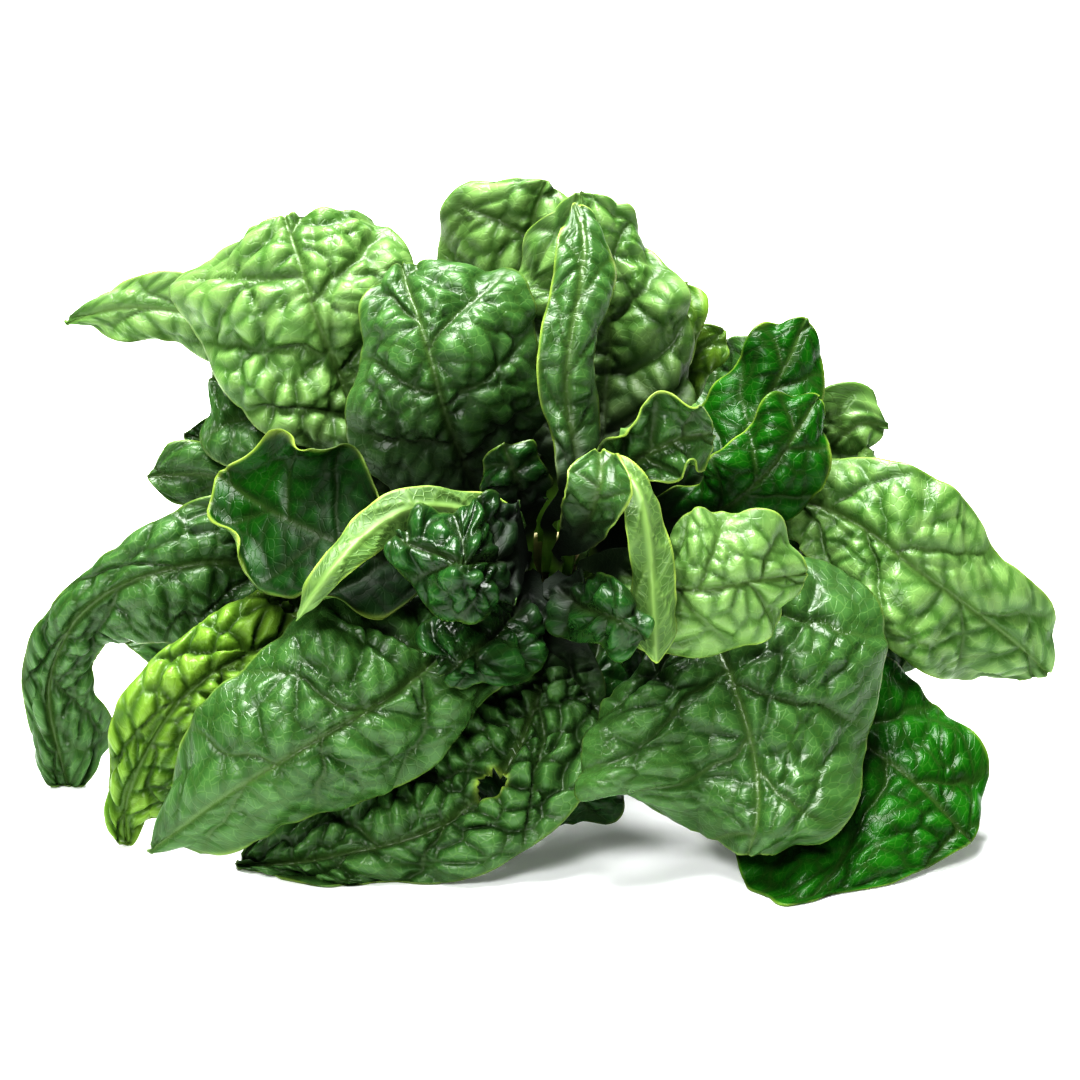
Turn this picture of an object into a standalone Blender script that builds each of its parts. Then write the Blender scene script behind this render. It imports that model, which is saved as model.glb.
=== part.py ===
"""A bunch of savoy spinach lying down, leaf ends forward: separate puckered leaves that grow from one crown.

Handles are written in millimetres in the bunch's own frame: across (to the right), up (along the leaning
face of the bunch) and near (out of that face, towards the leaf ends). The crown lies at the far end.
"""
import math
from types import SimpleNamespace

import bmesh
import bpy
import numpy as np

MM = 0.001

# How the bunch lies
LEAN = math.radians(17.0)     # the leaf ends are this much higher than the crown
TAPER_LENGTH = 1080.0         # the bunch narrows towards its leaf ends, to nothing at this distance
HOLLOW = (1.5, -6.0)          # middle of the rosette on its face, across and up
SET_DOWN = (-0.05, -20.3, 73.8)  # the middle of the bunch's face, from the middle of its box on the surface

# Crown and petioles
CROWN_MIDDLE = (1.5, -16.0)   # across and up
CROWN_NEAR = -128.0
CROWN_RADIUS = 20.5
CROWN_PROFILE = [(18.5, 0.0), (20.5, -3.0), (19.5, -9.0), (14.5, -16.0), (8.0, -21.0), (6.5, -30.0)]
CROWN_SIDES = 24
SEAT_GAP = 0.5
SEAT_STRAIGHT = 10.0          # each petiole leaves the crown square to its face
HEEL_RADII = (5.5, 13.0, 19.0, 25.0, 31.0, 28.0)
SEAT_RADII = (3.2, 6.3, 9.4, 12.5, 15.6, 18.7)
PETIOLE_HALF_WIDTHS = (2.0, 2.0, 2.4, 2.8, 3.2, 7.4)
HEEL_SPACINGS = (6.4, 6.4, 8.2, 8.2, 8.2, 8.2)
SEAT_SPACING = 5.6
PETIOLE_THICK = 2.4
HEEL_BEND = 10.0

# Leaf blades
BASE_FOLD = 30.0              # degrees that each side rises by where the blade begins
BLADE_THICK = 0.9
KEEL_THICK = 1.8
TIP_BOW = 0.1                 # how far the tip's corners are drawn back, as a share of the blade
GAP = 4.3                     # between the middle surfaces of two leaves that lie on each other
DRAPE_SLOPE = 0.8             # steepest slope that draping adds to a blade
FLOOR_CLEARANCE = 1.1         # of a blade's lowest upper surface, with room for the thickness below it

# The grid that draping is worked out on
CELL = 1.5
REACH_ACROSS = 168.0
REACH_UP = 126.0
PATH_STEPS = 400
MASTER_ROWS = 97
MASTER_COLUMNS = 33

# Colours
TONES = {
    "light": (0.27, 0.42, 0.09),
    "mid": (0.13, 0.27, 0.05),
    "dark": (0.05, 0.14, 0.03),
    "yellow": (0.34, 0.44, 0.06),
    "pale": (0.42, 0.52, 0.20),
}
CROWN_COLOUR = (0.62, 0.52, 0.38)


def leaf(name, rows, arch=-40.0, tilt=0.0, ruffle=2.6, pucker=1.8, pairs=4, columns=6, cells=9,
         flipped=False, tone="mid"):
    """One leaf. Each row is a station on the midrib from the base to the tip: across, up, near, and the
    half widths to the left and right as seen from the base. Angles are in degrees: arch bends the left and
    right sides (below 0 away from the viewer) and tilt turns the blade about its midrib. Ruffle and pucker
    are heights in mm, pairs counts the side veins, and columns and cells count the blade's grid."""
    return SimpleNamespace(name=name, rows=np.array(rows, float), arch=np.broadcast_to(arch, 2), tilt=tilt,
                           ruffle=ruffle, pucker=pucker, pairs=pairs, columns=columns, cells=cells,
                           flipped=flipped, tone=tone)


# Rings of leaves, from the heart of the rosette outwards. In each ring a later leaf lies nearer the viewer.
BIG = dict(columns=8, cells=10)
SMALL = dict(columns=4, cells=7, ruffle=1.4, pucker=1.2, pairs=3)
BACK = dict(columns=6, cells=7)
RINGS = [
    [
        leaf("leaf_centre_low", [(-4, -15, 30, 8, 8), (-8, -22, 46, 14, 14), (-15, -29, 58, 16, 17),
                                 (-24, -35, 60, 12, 14), (-31, -41, 54, 7, 7)],
             arch=-60, pucker=3.0, pairs=3, tone="dark"),
        leaf("leaf_dark_fold", [(5, -13, 30, 6, 5), (12, -20, 46, 10, 10), (23, -25, 54, 11, 9),
                                (32, -31, 52, 6, 6)], arch=-70, tone="dark", columns=4, cells=8, pairs=3),
        leaf("leaf_centre_left", [(-6, -5, 32, 10, 15), (-14, -5, 48, 16, 18), (-25, -5, 60, 18, 16),
                                  (-36, -2, 60, 13, 12), (-44, 3, 52, 6, 6)],
             arch=-60, pucker=3.0, pairs=3, tone="dark"),
        leaf("leaf_pocket", [(10, 0, 22, 5, 5), (15, 9, 36, 9, 9), (18, 20, 42, 9, 9),
                             (18, 28, 38, 5, 5)], arch=50, tone="mid", **SMALL),
    ],
    [
        leaf("leaf_heart", [(-4.5, 10, 15, 8, 7), (-7, 18, 24, 11, 10), (-11, 29, 26, 7, 7)],
             arch=-50, tone="dark", **SMALL),
        leaf("leaf_hood_flap", [(11, 14, 11, 6, 8), (11, 28, 20, 7, 8), (8, 42, 25, 8, 8),
                                (9, 60, 25, 9, 9), (12, 76, 20, 9, 9), (13, 92, 12, 7, 7),
                                (10, 102, 4, 4, 4)],
             arch=(-20, -75), ruffle=1.6, pucker=0.8, tone="light", columns=6, cells=10),
        leaf("leaf_cup", [(-28, -8, 22, 7, 7), (-50, -4, 28, 17, 16), (-70, 4, 32, 21, 25),
                          (-86, 12, 30, 16, 21), (-97, 20, 26, 9, 9)],
             arch=(75, 65), ruffle=4.0, tone="mid", columns=8, cells=10),
        leaf("leaf_front_light", [(23, -8, 46, 6, 6), (32, -13, 60, 11, 16), (48, -15, 70, 24, 21),
                                  (66, -12, 68, 21, 15), (81, -10, 58, 9, 6)],
             pucker=2.2, tone="light", **BIG),
        leaf("leaf_rosette", [(18, 15, 46, 4, 4), (29, 24, 56, 10, 8), (41, 30, 58, 13, 10),
                              (53, 32, 50, 8, 7)], arch=55, ruffle=3.2, tone="dark"),
        leaf("leaf_strip", [(16, 12, 40, 3, 3), (23, 21, 56, 4, 4), (29, 15, 68, 5, 5),
                            (32.5, 0, 76, 6, 6), (34, -20, 80, 7.5, 7), (35, -37, 78, 6, 6)],
             arch=-40, flipped=True, tone="pale", columns=4, cells=10, ruffle=1.0, pucker=0.6),
        leaf("leaf_twist", [(-8, 5, 40, 6, 4), (-22, 9, 54, 7, 6), (-40, 9, 64, 7, 6.5),
                            (-55, -1, 68, 5.5, 6), (-66, -14, 68, 4, 4), (-73, -24, 66, 1.5, 1.5)],
             arch=-45, flipped=True, tone="pale", columns=4, cells=10, ruffle=1.0, pucker=0.6),
    ],
    [
        leaf("leaf_front_core", [(18, -26, 26, 8, 8), (12, -46, 42, 22, 20), (1, -67, 48, 27, 29),
                                 (-4, -86, 42, 20, 25)], pucker=2.6, tone="dark"),
        leaf("leaf_front_middle", [(2, -29, 24, 12, 12), (0, -38, 38, 19, 17), (-6, -60, 58, 25, 29),
                                   (-27, -83, 66, 20, 26), (-60, -94, 64, 11, 18), (-92, -97, 56, 6, 10)],
             tilt=-18, arch=-30, pucker=2.6, tone="dark", **BIG),
        leaf("leaf_front_left", [(-17, -20, 36, 11, 11), (-26, -30, 53, 20, 24), (-44, -46, 72, 23, 36),
                                 (-72, -63, 78, 22, 31), (-99, -80, 72, 13, 18), (-118, -94, 62, 4, 4)],
             arch=-50, pucker=2.4, tone="mid", **BIG),
        leaf("leaf_folded", [(34, 4, -2, 8, 8), (56, 9, 8, 14, 12), (69, 21, 14, 15, 16),
                             (78, 34, 12, 12, 10), (84, 44, 4, 6, 5)], tone="light"),
        leaf("leaf_front_right", [(36, -14, 28, 14, 14), (52, -30, 48, 44, 34), (59, -46, 62, 47, 50),
                                  (64, -64, 66, 37, 53), (65, -82, 62, 24, 48), (62, -95, 54, 12, 34)],
             arch=-50, pucker=2.6, tone="dark", **BIG),
        leaf("leaf_upper_middle", [(-16, 11, -4, 14, 18), (-23, 23, 10, 25, 25), (-29, 40, 22, 29, 31),
                                   (-35, 62, 22, 21, 33), (-40, 77, 12, 11, 25), (-42, 84, 4, 7, 12)],
             arch=-50, pucker=2.2, tone="mid", **BIG),
    ],
    [
        leaf("leaf_left_arch", [(-48, -6, 2, 10, 10), (-78, -8, 14, 27, 18), (-102, -7, 22, 25, 18),
                                (-124, -13, 22, 19, 12), (-140, -25, 15, 13, 9), (-147, -43, 4, 13, 7),
                                (-144, -66, -4, 17, 9), (-140, -79, -8, 13, 9)],
             pucker=2.4, tone="mid", columns=8, cells=13),
        leaf("leaf_lower_left", [(-36, -18, 16, 10, 10), (-64, -25, 34, 18, 14), (-88, -34, 48, 20, 16),
                                 (-107, -47, 53, 19, 15), (-119, -66, 50, 15, 10), (-125, -84, 42, 10, 7),
                                 (-124, -94, 38, 6, 5)], ruffle=3.4, pucker=2.6, tone="yellow", **BIG),
        leaf("leaf_right_low", [(56, -28, 2, 12, 20), (78, -46, 20, 20, 40), (97, -60, 36, 24, 57),
                                (115, -74, 46, 20, 54), (130, -90, 50, 12, 34)],
             arch=-14, tilt=38, pucker=2.2, tone="mid", **BIG),
        leaf("leaf_right", [(54, 10, -12, 12, 12), (82, 11, 2, 16, 13), (98, 3, 12, 22, 18),
                            (112, -8, 16, 26, 24), (130, -21, 12, 18, 22), (144, -32, 4, 14, 16),
                            (153, -41, -4, 9, 9)], arch=-35, tone="light", **BIG),
        leaf("leaf_upright", [(40, 14, -18, 8, 8), (57, 26, -10, 13, 13), (66, 40, -5, 15, 15),
                              (74, 53, -4, 13, 12), (80, 67, -9, 8, 7)], tone="mid"),
        leaf("leaf_hood", [(14, 21, -14, 15, 14), (18, 36, -12, 28, 22), (20, 56, -14, 34, 27),
                           (19, 80, -12, 34, 19), (14, 96, -12, 20, 12), (12, 105, -14, 9, 9)],
             arch=(-35, -50), pucker=3.0, pairs=5, tone="mid", **BIG),
        leaf("leaf_upper_left", [(-34, 22, -20, 12, 12), (-52, 37, -10, 20, 18), (-60, 50, -4, 29, 26),
                                 (-67, 66, 2, 36, 30), (-72, 83, -2, 38, 30), (-77, 98, -12, 28, 24)],
             arch=-50, pucker=3.0, tone="light", **BIG),
    ],
    [
        leaf("leaf_left_tip", [(-46, 34, -44, 8, 8), (-84, 60, -34, 13, 13), (-112, 69, -32, 10, 10),
                               (-130, 69, -34, 7, 7), (-143, 65, -38, 2.5, 3)], tone="light", columns=6, cells=8),
        leaf("leaf_left_dark", [(-50, 14, -28, 6, 6), (-75, 22, -24, 9, 9), (-95, 29, -22, 8, 7),
                                (-107, 32, -22, 4, 4)], tone="dark", **SMALL),
        leaf("leaf_left_small", [(-50, 6, -26, 6, 6), (-80, 13, -22, 10, 10), (-101, 19, -18, 11, 11),
                                 (-118, 19, -18, 6, 7)], tone="mid", **SMALL),
        leaf("leaf_left_behind", [(-28, 10, -20, 12, 12), (-50, 20, -16, 20, 18), (-72, 34, -12, 20, 21),
                                  (-90, 44, -14, 18, 18), (-99, 50, -18, 10, 11)], pucker=2.4, tone="mid"),
        leaf("leaf_top", [(3, 34, -34, 10, 10), (0, 60, -30, 22, 20), (-4, 84, -28, 28, 25),
                          (-1, 100, -24, 22, 22), (2, 108, -24, 15, 16)], pucker=2.4, tone="light"),
        leaf("leaf_pale_right", [(30, 30, -28, 5, 5), (38, 44, -24, 8, 8), (47, 56, -22, 8, 8),
                                 (56, 63, -24, 4, 4)], tone="yellow", **SMALL),
        leaf("leaf_pale_top", [(26, 38, -26, 5, 5), (36, 54, -22, 8, 8), (43, 68, -20, 7, 7),
                               (44, 78, -22, 4, 4)], tone="yellow", **SMALL),
        leaf("leaf_right_behind", [(50, 14, -28, 8, 8), (72, 22, -24, 12, 11), (87, 28, -20, 15, 14),
                                   (97, 35, -18, 11, 11), (105, 34, -20, 5, 8)], tone="light"),
        leaf("leaf_right_under", [(48, -8, -14, 12, 12), (72, -14, -6, 20, 20), (92, -24, -2, 19, 19),
                                  (108, -40, -6, 9, 10)], tone="dark"),
    ],
    [
        leaf("leaf_back_up", [(0, 32, -84, 17, 17), (-1, 54, -70, 26, 26), (0, 77, -56, 27, 27),
                              (2, 96, -50, 15, 15)], **BACK),
        leaf("leaf_back_left_up", [(-28, 18, -84, 17, 17), (-44, 32, -72, 25, 25), (-66, 52, -58, 27, 25),
                                   (-83, 70, -50, 15, 15)], **BACK),
        leaf("leaf_back_left", [(-36, -8, -84, 17, 17), (-60, -10, -68, 25, 25), (-94, -18, -50, 27, 25),
                                (-124, -31, -40, 14, 14)], **BACK),
        leaf("leaf_back_low_left", [(-19, -34, -82, 16, 17), (-34, -43, -56, 22, 24), (-62, -51, -26, 21, 20),
                                    (-94, -57, -4, 12, 12)], **BACK),
        leaf("leaf_back_low_right", [(22, -34, -82, 17, 16), (38, -43, -56, 24, 22), (68, -51, -24, 20, 21),
                                     (96, -57, -2, 12, 12)], **BACK),
        leaf("leaf_back_right", [(39, -9, -77, 15, 15), (62, -11, -65, 24, 24), (92, -18, -51, 26, 25),
                                 (122, -30, -42, 14, 14)], **BACK),
        leaf("leaf_back_right_up", [(30, 18, -79, 16, 16), (46, 29, -69, 23, 24), (64, 40, -60, 22, 21),
                                    (80, 50, -54, 12, 12)], **BACK),
    ],
]


def smooth_step(x):
    """0 below 0, 1 above 1, and a smooth S between them."""
    x = np.clip(x, 0.0, 1.0)
    return x * x * (3.0 - 2.0 * x)


def spread_angles(angles, least):
    """The angles moved apart, in their order round the circle, until neighbours are at least so far apart."""
    order = np.argsort(angles)
    spread = angles[order].astype(float)
    for _ in range(200):
        after = np.roll(spread, -1)
        after[-1] += 2.0 * math.pi
        short = np.maximum(least - (after - spread), 0.0) * 0.5
        spread = spread - short + np.roll(short, 1)
    result = np.empty_like(spread)
    result[order] = spread
    return result


def place_petioles():
    """Gives each leaf its seat on the crown and its heel on the rosette's face, ring by ring."""
    for ring, heel_radius, heel_spacing, seat_radius, width in zip(RINGS, HEEL_RADII, HEEL_SPACINGS,
                                                                   SEAT_RADII, PETIOLE_HALF_WIDTHS):
        starts = np.array([item.rows[0, :2] - HOLLOW for item in ring])
        wanted = np.arctan2(starts[:, 1], starts[:, 0])
        heels = spread_angles(wanted, min(heel_spacing / heel_radius, 2.0 * math.pi / len(ring)))
        seats = spread_angles(heels, min(SEAT_SPACING / seat_radius, 2.0 * math.pi / len(ring)))
        for item, heel_angle, seat_angle in zip(ring, heels, seats):
            heel = np.array(HOLLOW) + heel_radius * np.array([math.cos(heel_angle), math.sin(heel_angle)])
            seat = np.array(CROWN_MIDDLE) + seat_radius * np.array([math.cos(seat_angle),
                                                                    math.sin(seat_angle)])
            run = np.linalg.norm(item.rows[0, :2] - heel)
            heel_near = item.rows[0, 2] - HEEL_BEND - 0.4 * run
            item.angles = (seat_angle, heel_angle)
            start = CROWN_NEAR + SEAT_GAP
            stations = [[*seat, start, width * 0.85, width * 0.85],
                        [*seat, start + SEAT_STRAIGHT, width * 0.85, width * 0.85]]
            for share in (0.35, 0.7):
                turn = seat_angle + share * (heel_angle - seat_angle)
                reach = seat_radius + share * (heel_radius - seat_radius)
                middle = np.array(CROWN_MIDDLE) * (1.0 - share) + np.array(HOLLOW) * share
                stations.append([middle[0] + reach * math.cos(turn), middle[1] + reach * math.sin(turn),
                                 start + SEAT_STRAIGHT + share * (heel_near - start - SEAT_STRAIGHT),
                                 width, width])
            stations.append([*heel, heel_near, width * 1.15, width * 1.15])
            item.stations = np.vstack([stations, item.rows])
            item.heel_station = len(stations) - 1


def follow(stations):
    """A smooth path through the stations: a cubic on chord length whose slopes are weighted means of the
    slopes on either side, and no narrower than its narrowest station. Returns samples of all columns, the
    fraction of the length at each, and at each station."""
    steps = np.linalg.norm(np.diff(stations[:, :3], axis=0), axis=1)
    knots = np.concatenate([[0.0], np.cumsum(steps)])
    slopes = np.diff(stations, axis=0) / steps[:, None]
    inner = (slopes[1:] * steps[:-1, None] + slopes[:-1] * steps[1:, None]) / (steps[1:] + steps[:-1])[:, None]
    tangents = np.vstack([slopes[:1], inner, slopes[-1:]])
    x = np.linspace(0.0, knots[-1], PATH_STEPS)
    i = np.clip(np.searchsorted(knots, x, side="right") - 1, 0, len(steps) - 1)
    h = steps[i][:, None]
    u = ((x - knots[i]) / steps[i])[:, None]
    samples = ((1 + 2 * u) * (1 - u) ** 2 * stations[i] + u * (1 - u) ** 2 * h * tangents[i]
               + u * u * (3 - 2 * u) * stations[i + 1] + u * u * (u - 1) * h * tangents[i + 1])
    samples[:, 3:] = np.maximum(samples[:, 3:], stations[:, 3:].min(axis=0))
    length = np.concatenate([[0.0], np.cumsum(np.linalg.norm(np.diff(samples[:, :3], axis=0), axis=1))])
    marks = np.interp(knots, x, length) / length[-1]
    return samples, length / length[-1], marks


def cross_section(bend, tilt):
    """One side of the blade seen along the midrib: its angle is the tilt and grows evenly by the bend.
    Returns how far out and how far near it reaches, for a half width of 1."""
    out = np.linspace(0.0, 1.0, 41)
    angle = np.radians(tilt[:, None] + bend[:, None] * out)
    step = out[1]
    reach = np.cumsum(np.cos(angle), axis=1) * step
    rise = np.cumsum(np.sin(angle), axis=1) * step
    reach = np.hstack([np.zeros((len(bend), 1)), reach[:, :-1]])
    rise = np.hstack([np.zeros((len(bend), 1)), rise[:, :-1]])
    widest = reach.max(axis=1)[:, None]
    return out, reach / widest, rise / widest


def relief(item, along, side):
    """Height of the puckered tissue over the blade's middle surface. Side veins leave the midrib in pairs
    and slant to the tip; between them the blade bulges, and towards the margin it waves."""
    blade = smooth_step(along / 0.12)
    out = np.abs(side)
    veins = item.pairs * (along - 0.22 * out) + np.where(side < 0.0, 0.0, 0.35)
    bulge = np.abs(np.sin(np.pi * veins)) - 0.55
    bulge *= smooth_step(out / 0.3) * (0.75 + 0.25 * np.cos(5.0 * out + 2.0 * along))
    wave = np.sin(2.0 * np.pi * (0.5 * item.pairs + 0.6) * along + np.where(side < 0.0, 0.7, 2.6))
    height = item.pucker * bulge + item.ruffle * out ** 2.5 * wave
    return blade * height * (-1.0 if item.flipped else 1.0)


def sheet(item, along, side):
    """The leaf's upper surface as an array of points (rows along the leaf, columns across it): each row
    is a cross section set square to the path, on which the relief then stands."""
    samples, length, marks = follow(item.stations)
    heel, base = marks[item.heel_station], marks[item.heel_station + 1]
    values = np.stack([np.interp(along, length, samples[:, k]) for k in range(5)], axis=1)
    ahead = np.stack([np.interp(np.minimum(along + 0.01, 1.0), length, samples[:, k]) for k in range(2)], 1)
    behind = np.stack([np.interp(np.maximum(along - 0.01, 0.0), length, samples[:, k]) for k in range(2)], 1)
    turn = item.angles[0] + (item.angles[1] - item.angles[0]) * np.clip(along / heel, 0.0, 1.0)
    outward = np.stack([np.cos(turn), np.sin(turn)], axis=1)
    free = smooth_step((along - heel * 0.9) / (base - heel * 0.9))[:, None]
    course = (ahead - behind)
    course /= np.linalg.norm(course, axis=1)[:, None] + 1e-6
    course = course * free + outward * (1.0 - free)
    course /= np.linalg.norm(course, axis=1)[:, None]
    square = np.stack([-course[:, 1], course[:, 0]], axis=1)

    blade = (along - base) / (1.0 - base)
    opened = smooth_step(blade / 0.25 + 0.2)
    tip = np.sqrt(np.clip(1.0 - np.clip((blade - 0.86) / 0.15, 0.0, 1.0) ** 2, 0.0, 1.0))
    tip = 0.22 + 0.78 * tip

    points = np.zeros((len(along), len(side), 3))
    for sign, column, arch in ((-1.0, 3, item.arch[0]), (1.0, 4, item.arch[1])):
        bend = arch * opened + BASE_FOLD * (1.0 - opened)
        out, reach, rise = cross_section(bend, item.tilt * opened * sign)
        mine = (side < 0.0) if sign < 0.0 else (side >= 0.0)
        where = np.abs(side[mine])
        width = (values[:, column] * tip)[:, None]
        across = np.stack([np.interp(where, out, row) for row in reach]) * width
        near = np.stack([np.interp(where, out, row) for row in rise]) * width
        points[:, mine, 0] = values[:, 0, None] - sign * square[:, 0, None] * across
        points[:, mine, 1] = values[:, 1, None] - sign * square[:, 1, None] * across
        points[:, mine, 2] = values[:, 2, None] + near

    down = np.gradient(points, axis=0)
    over = np.gradient(points, axis=1)
    normal = np.cross(over, down)
    normal /= np.linalg.norm(normal, axis=2)[:, :, None] + 1e-9
    height = relief(item, np.clip(blade, 0.0, 1.0)[:, None] * np.ones_like(side),
                    side * np.ones((len(along), 1)))
    return points + normal * height[:, :, None], heel


def cells_of(points):
    """The draping grid's cell under each point, as row and column numbers."""
    column = np.clip(((points[..., 0] + REACH_ACROSS) / CELL).astype(int), 0, int(2 * REACH_ACROSS / CELL) - 1)
    row = np.clip(((points[..., 1] + REACH_UP) / CELL).astype(int), 0, int(2 * REACH_UP / CELL) - 1)
    return row, column


def refine(points, factor):
    """The same surface with more points, by straight lines between its own."""
    rows, columns = points.shape[:2]
    new_rows = np.linspace(0, rows - 1, (rows - 1) * factor + 1)
    new_columns = np.linspace(0, columns - 1, (columns - 1) * factor + 1)
    i = np.minimum(new_rows.astype(int), rows - 2)
    j = np.minimum(new_columns.astype(int), columns - 2)
    x = (new_rows - i)[:, None, None]
    y = (new_columns - j)[None, :, None]
    return ((1 - x) * (1 - y) * points[i][:, j] + (1 - x) * y * points[i][:, j + 1]
            + x * (1 - y) * points[i + 1][:, j] + x * y * points[i + 1][:, j + 1])


def shifted(field, rows, columns, fill):
    """The field moved by whole cells, with the fill value where nothing moves in."""
    result = np.full_like(field, fill)
    height, width = field.shape
    result[max(rows, 0):height + min(rows, 0), max(columns, 0):width + min(columns, 0)] = \
        field[max(-rows, 0):height - max(rows, 0), max(-columns, 0):width - max(columns, 0)]
    return result


AROUND = [(r, c) for r in (-1, 0, 1) for c in (-1, 0, 1) if (r, c) != (0, 0)]


def widen(field, rounds, drop, fill):
    """Each cell takes the highest of its neighbours' values less the drop a cell, again and again."""
    for _ in range(rounds):
        field = np.max([field] + [shifted(field, r, c, fill) - drop * math.hypot(r, c) for r, c in AROUND],
                       axis=0)
    return field


def soften(field, rounds):
    """Each cell takes the mean of itself and its neighbours, again and again."""
    for _ in range(rounds):
        padded = np.pad(field, 1, mode="edge")
        field = (padded[1:-1, 1:-1] * 4 + padded[:-2, 1:-1] * 2 + padded[2:, 1:-1] * 2 + padded[1:-1, :-2] * 2
                 + padded[1:-1, 2:] * 2 + padded[:-2, :-2] + padded[:-2, 2:] + padded[2:, :-2]
                 + padded[2:, 2:]) / 16.0
    return field


def master_grid():
    """Evenly spaced places along and across a leaf, on which draping and the solids are worked out."""
    return np.linspace(0.0, 1.0, MASTER_ROWS), np.linspace(-1.0, 1.0, MASTER_COLUMNS)


def drape_all():
    """Lays the leaves on each other from the back of the bunch to the front. Where a leaf would come
    closer than the gap to those behind it, it is lifted, and the lift eases off at the drape slope."""
    shape = (int(2 * REACH_UP / CELL), int(2 * REACH_ACROSS / CELL))
    nothing = -1000.0
    pile = np.full(shape, nothing)
    along, side = master_grid()
    for ring in reversed(RINGS):
        for item in ring:
            points, heel = sheet(item, along, side)
            open_part = refine(points[along >= heel], 3)
            row, column = cells_of(open_part)
            lowest = np.full(shape, -nothing)
            np.minimum.at(lowest, (row, column), open_part[..., 2])
            under = widen(pile, 1, 0.0, nothing)
            need = np.where(lowest < -nothing, under + GAP - lowest, 0.0)
            need = widen(np.maximum(need, 0.0), 3, 0.0, 0.0)
            lift = soften(widen(need, int(need.max() / (DRAPE_SLOPE * CELL)) + 1, DRAPE_SLOPE * CELL, 0.0), 4)
            item.lift = lift
            lifted = open_part[..., 2] + lift[row, column]
            np.maximum.at(pile, (row, column), lifted)


def lift_at(field, points):
    """The lift at each point, smoothly between the cells' middles."""
    x = np.clip((points[..., 0] + REACH_ACROSS) / CELL - 0.5, 0.0, field.shape[1] - 1.001)
    y = np.clip((points[..., 1] + REACH_UP) / CELL - 0.5, 0.0, field.shape[0] - 1.001)
    i = y.astype(int)
    j = x.astype(int)
    x -= j
    y -= i
    return ((1 - x) * (1 - y) * field[i, j] + x * (1 - y) * field[i, j + 1]
            + (1 - x) * y * field[i + 1, j] + x * y * field[i + 1, j + 1])


def draped(item, along, side):
    """The leaf's surface with its lift, which fades out down the petiole."""
    points, heel = sheet(item, along, side)
    share = smooth_step(along / heel)[:, None]
    points[..., 2] += share * lift_at(item.lift, points)
    return points


def bowed(points, along, side, base):
    """Rounds the leaf's end. Each point is taken from further back along its column, by the square of its
    side and more so towards the tip, so the last row becomes an arc."""
    near_tip = smooth_step((along - base) / (1.0 - base) * 1.6 - 0.6)
    wanted = along[:, None] - TIP_BOW * (1.0 - base) * near_tip[:, None] * side[None, :] ** 2
    i = np.clip(np.searchsorted(along, wanted, side="right") - 1, 0, len(along) - 2)
    share = ((wanted - along[i]) / (along[i + 1] - along[i]))[:, :, None]
    column = np.arange(len(side))[None, :]
    return points[i, column] * (1.0 - share) + points[i + 1, column] * share


def stand(points):
    """From the bunch's own frame to the world, in metres."""
    across, up, near = points[..., 0], points[..., 1], points[..., 2]
    taper = 1.0 - near / TAPER_LENGTH
    y = up * taper * math.sin(LEAN) - near * math.cos(LEAN)
    z = up * taper * math.cos(LEAN) + near * math.sin(LEAN)
    return (np.stack([across * taper, y, z], axis=-1) + SET_DOWN) * MM


def new_material(name, colour, roughness):
    material = bpy.data.materials.new(name)
    material.use_nodes = True
    shader = material.node_tree.nodes["Principled BSDF"]
    shader.inputs["Base Color"].default_value = (*colour, 1.0)
    shader.inputs["Roughness"].default_value = roughness
    shader.inputs["Metallic"].default_value = 0.0
    material.diffuse_color = (*colour, 1.0)
    return material


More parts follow.
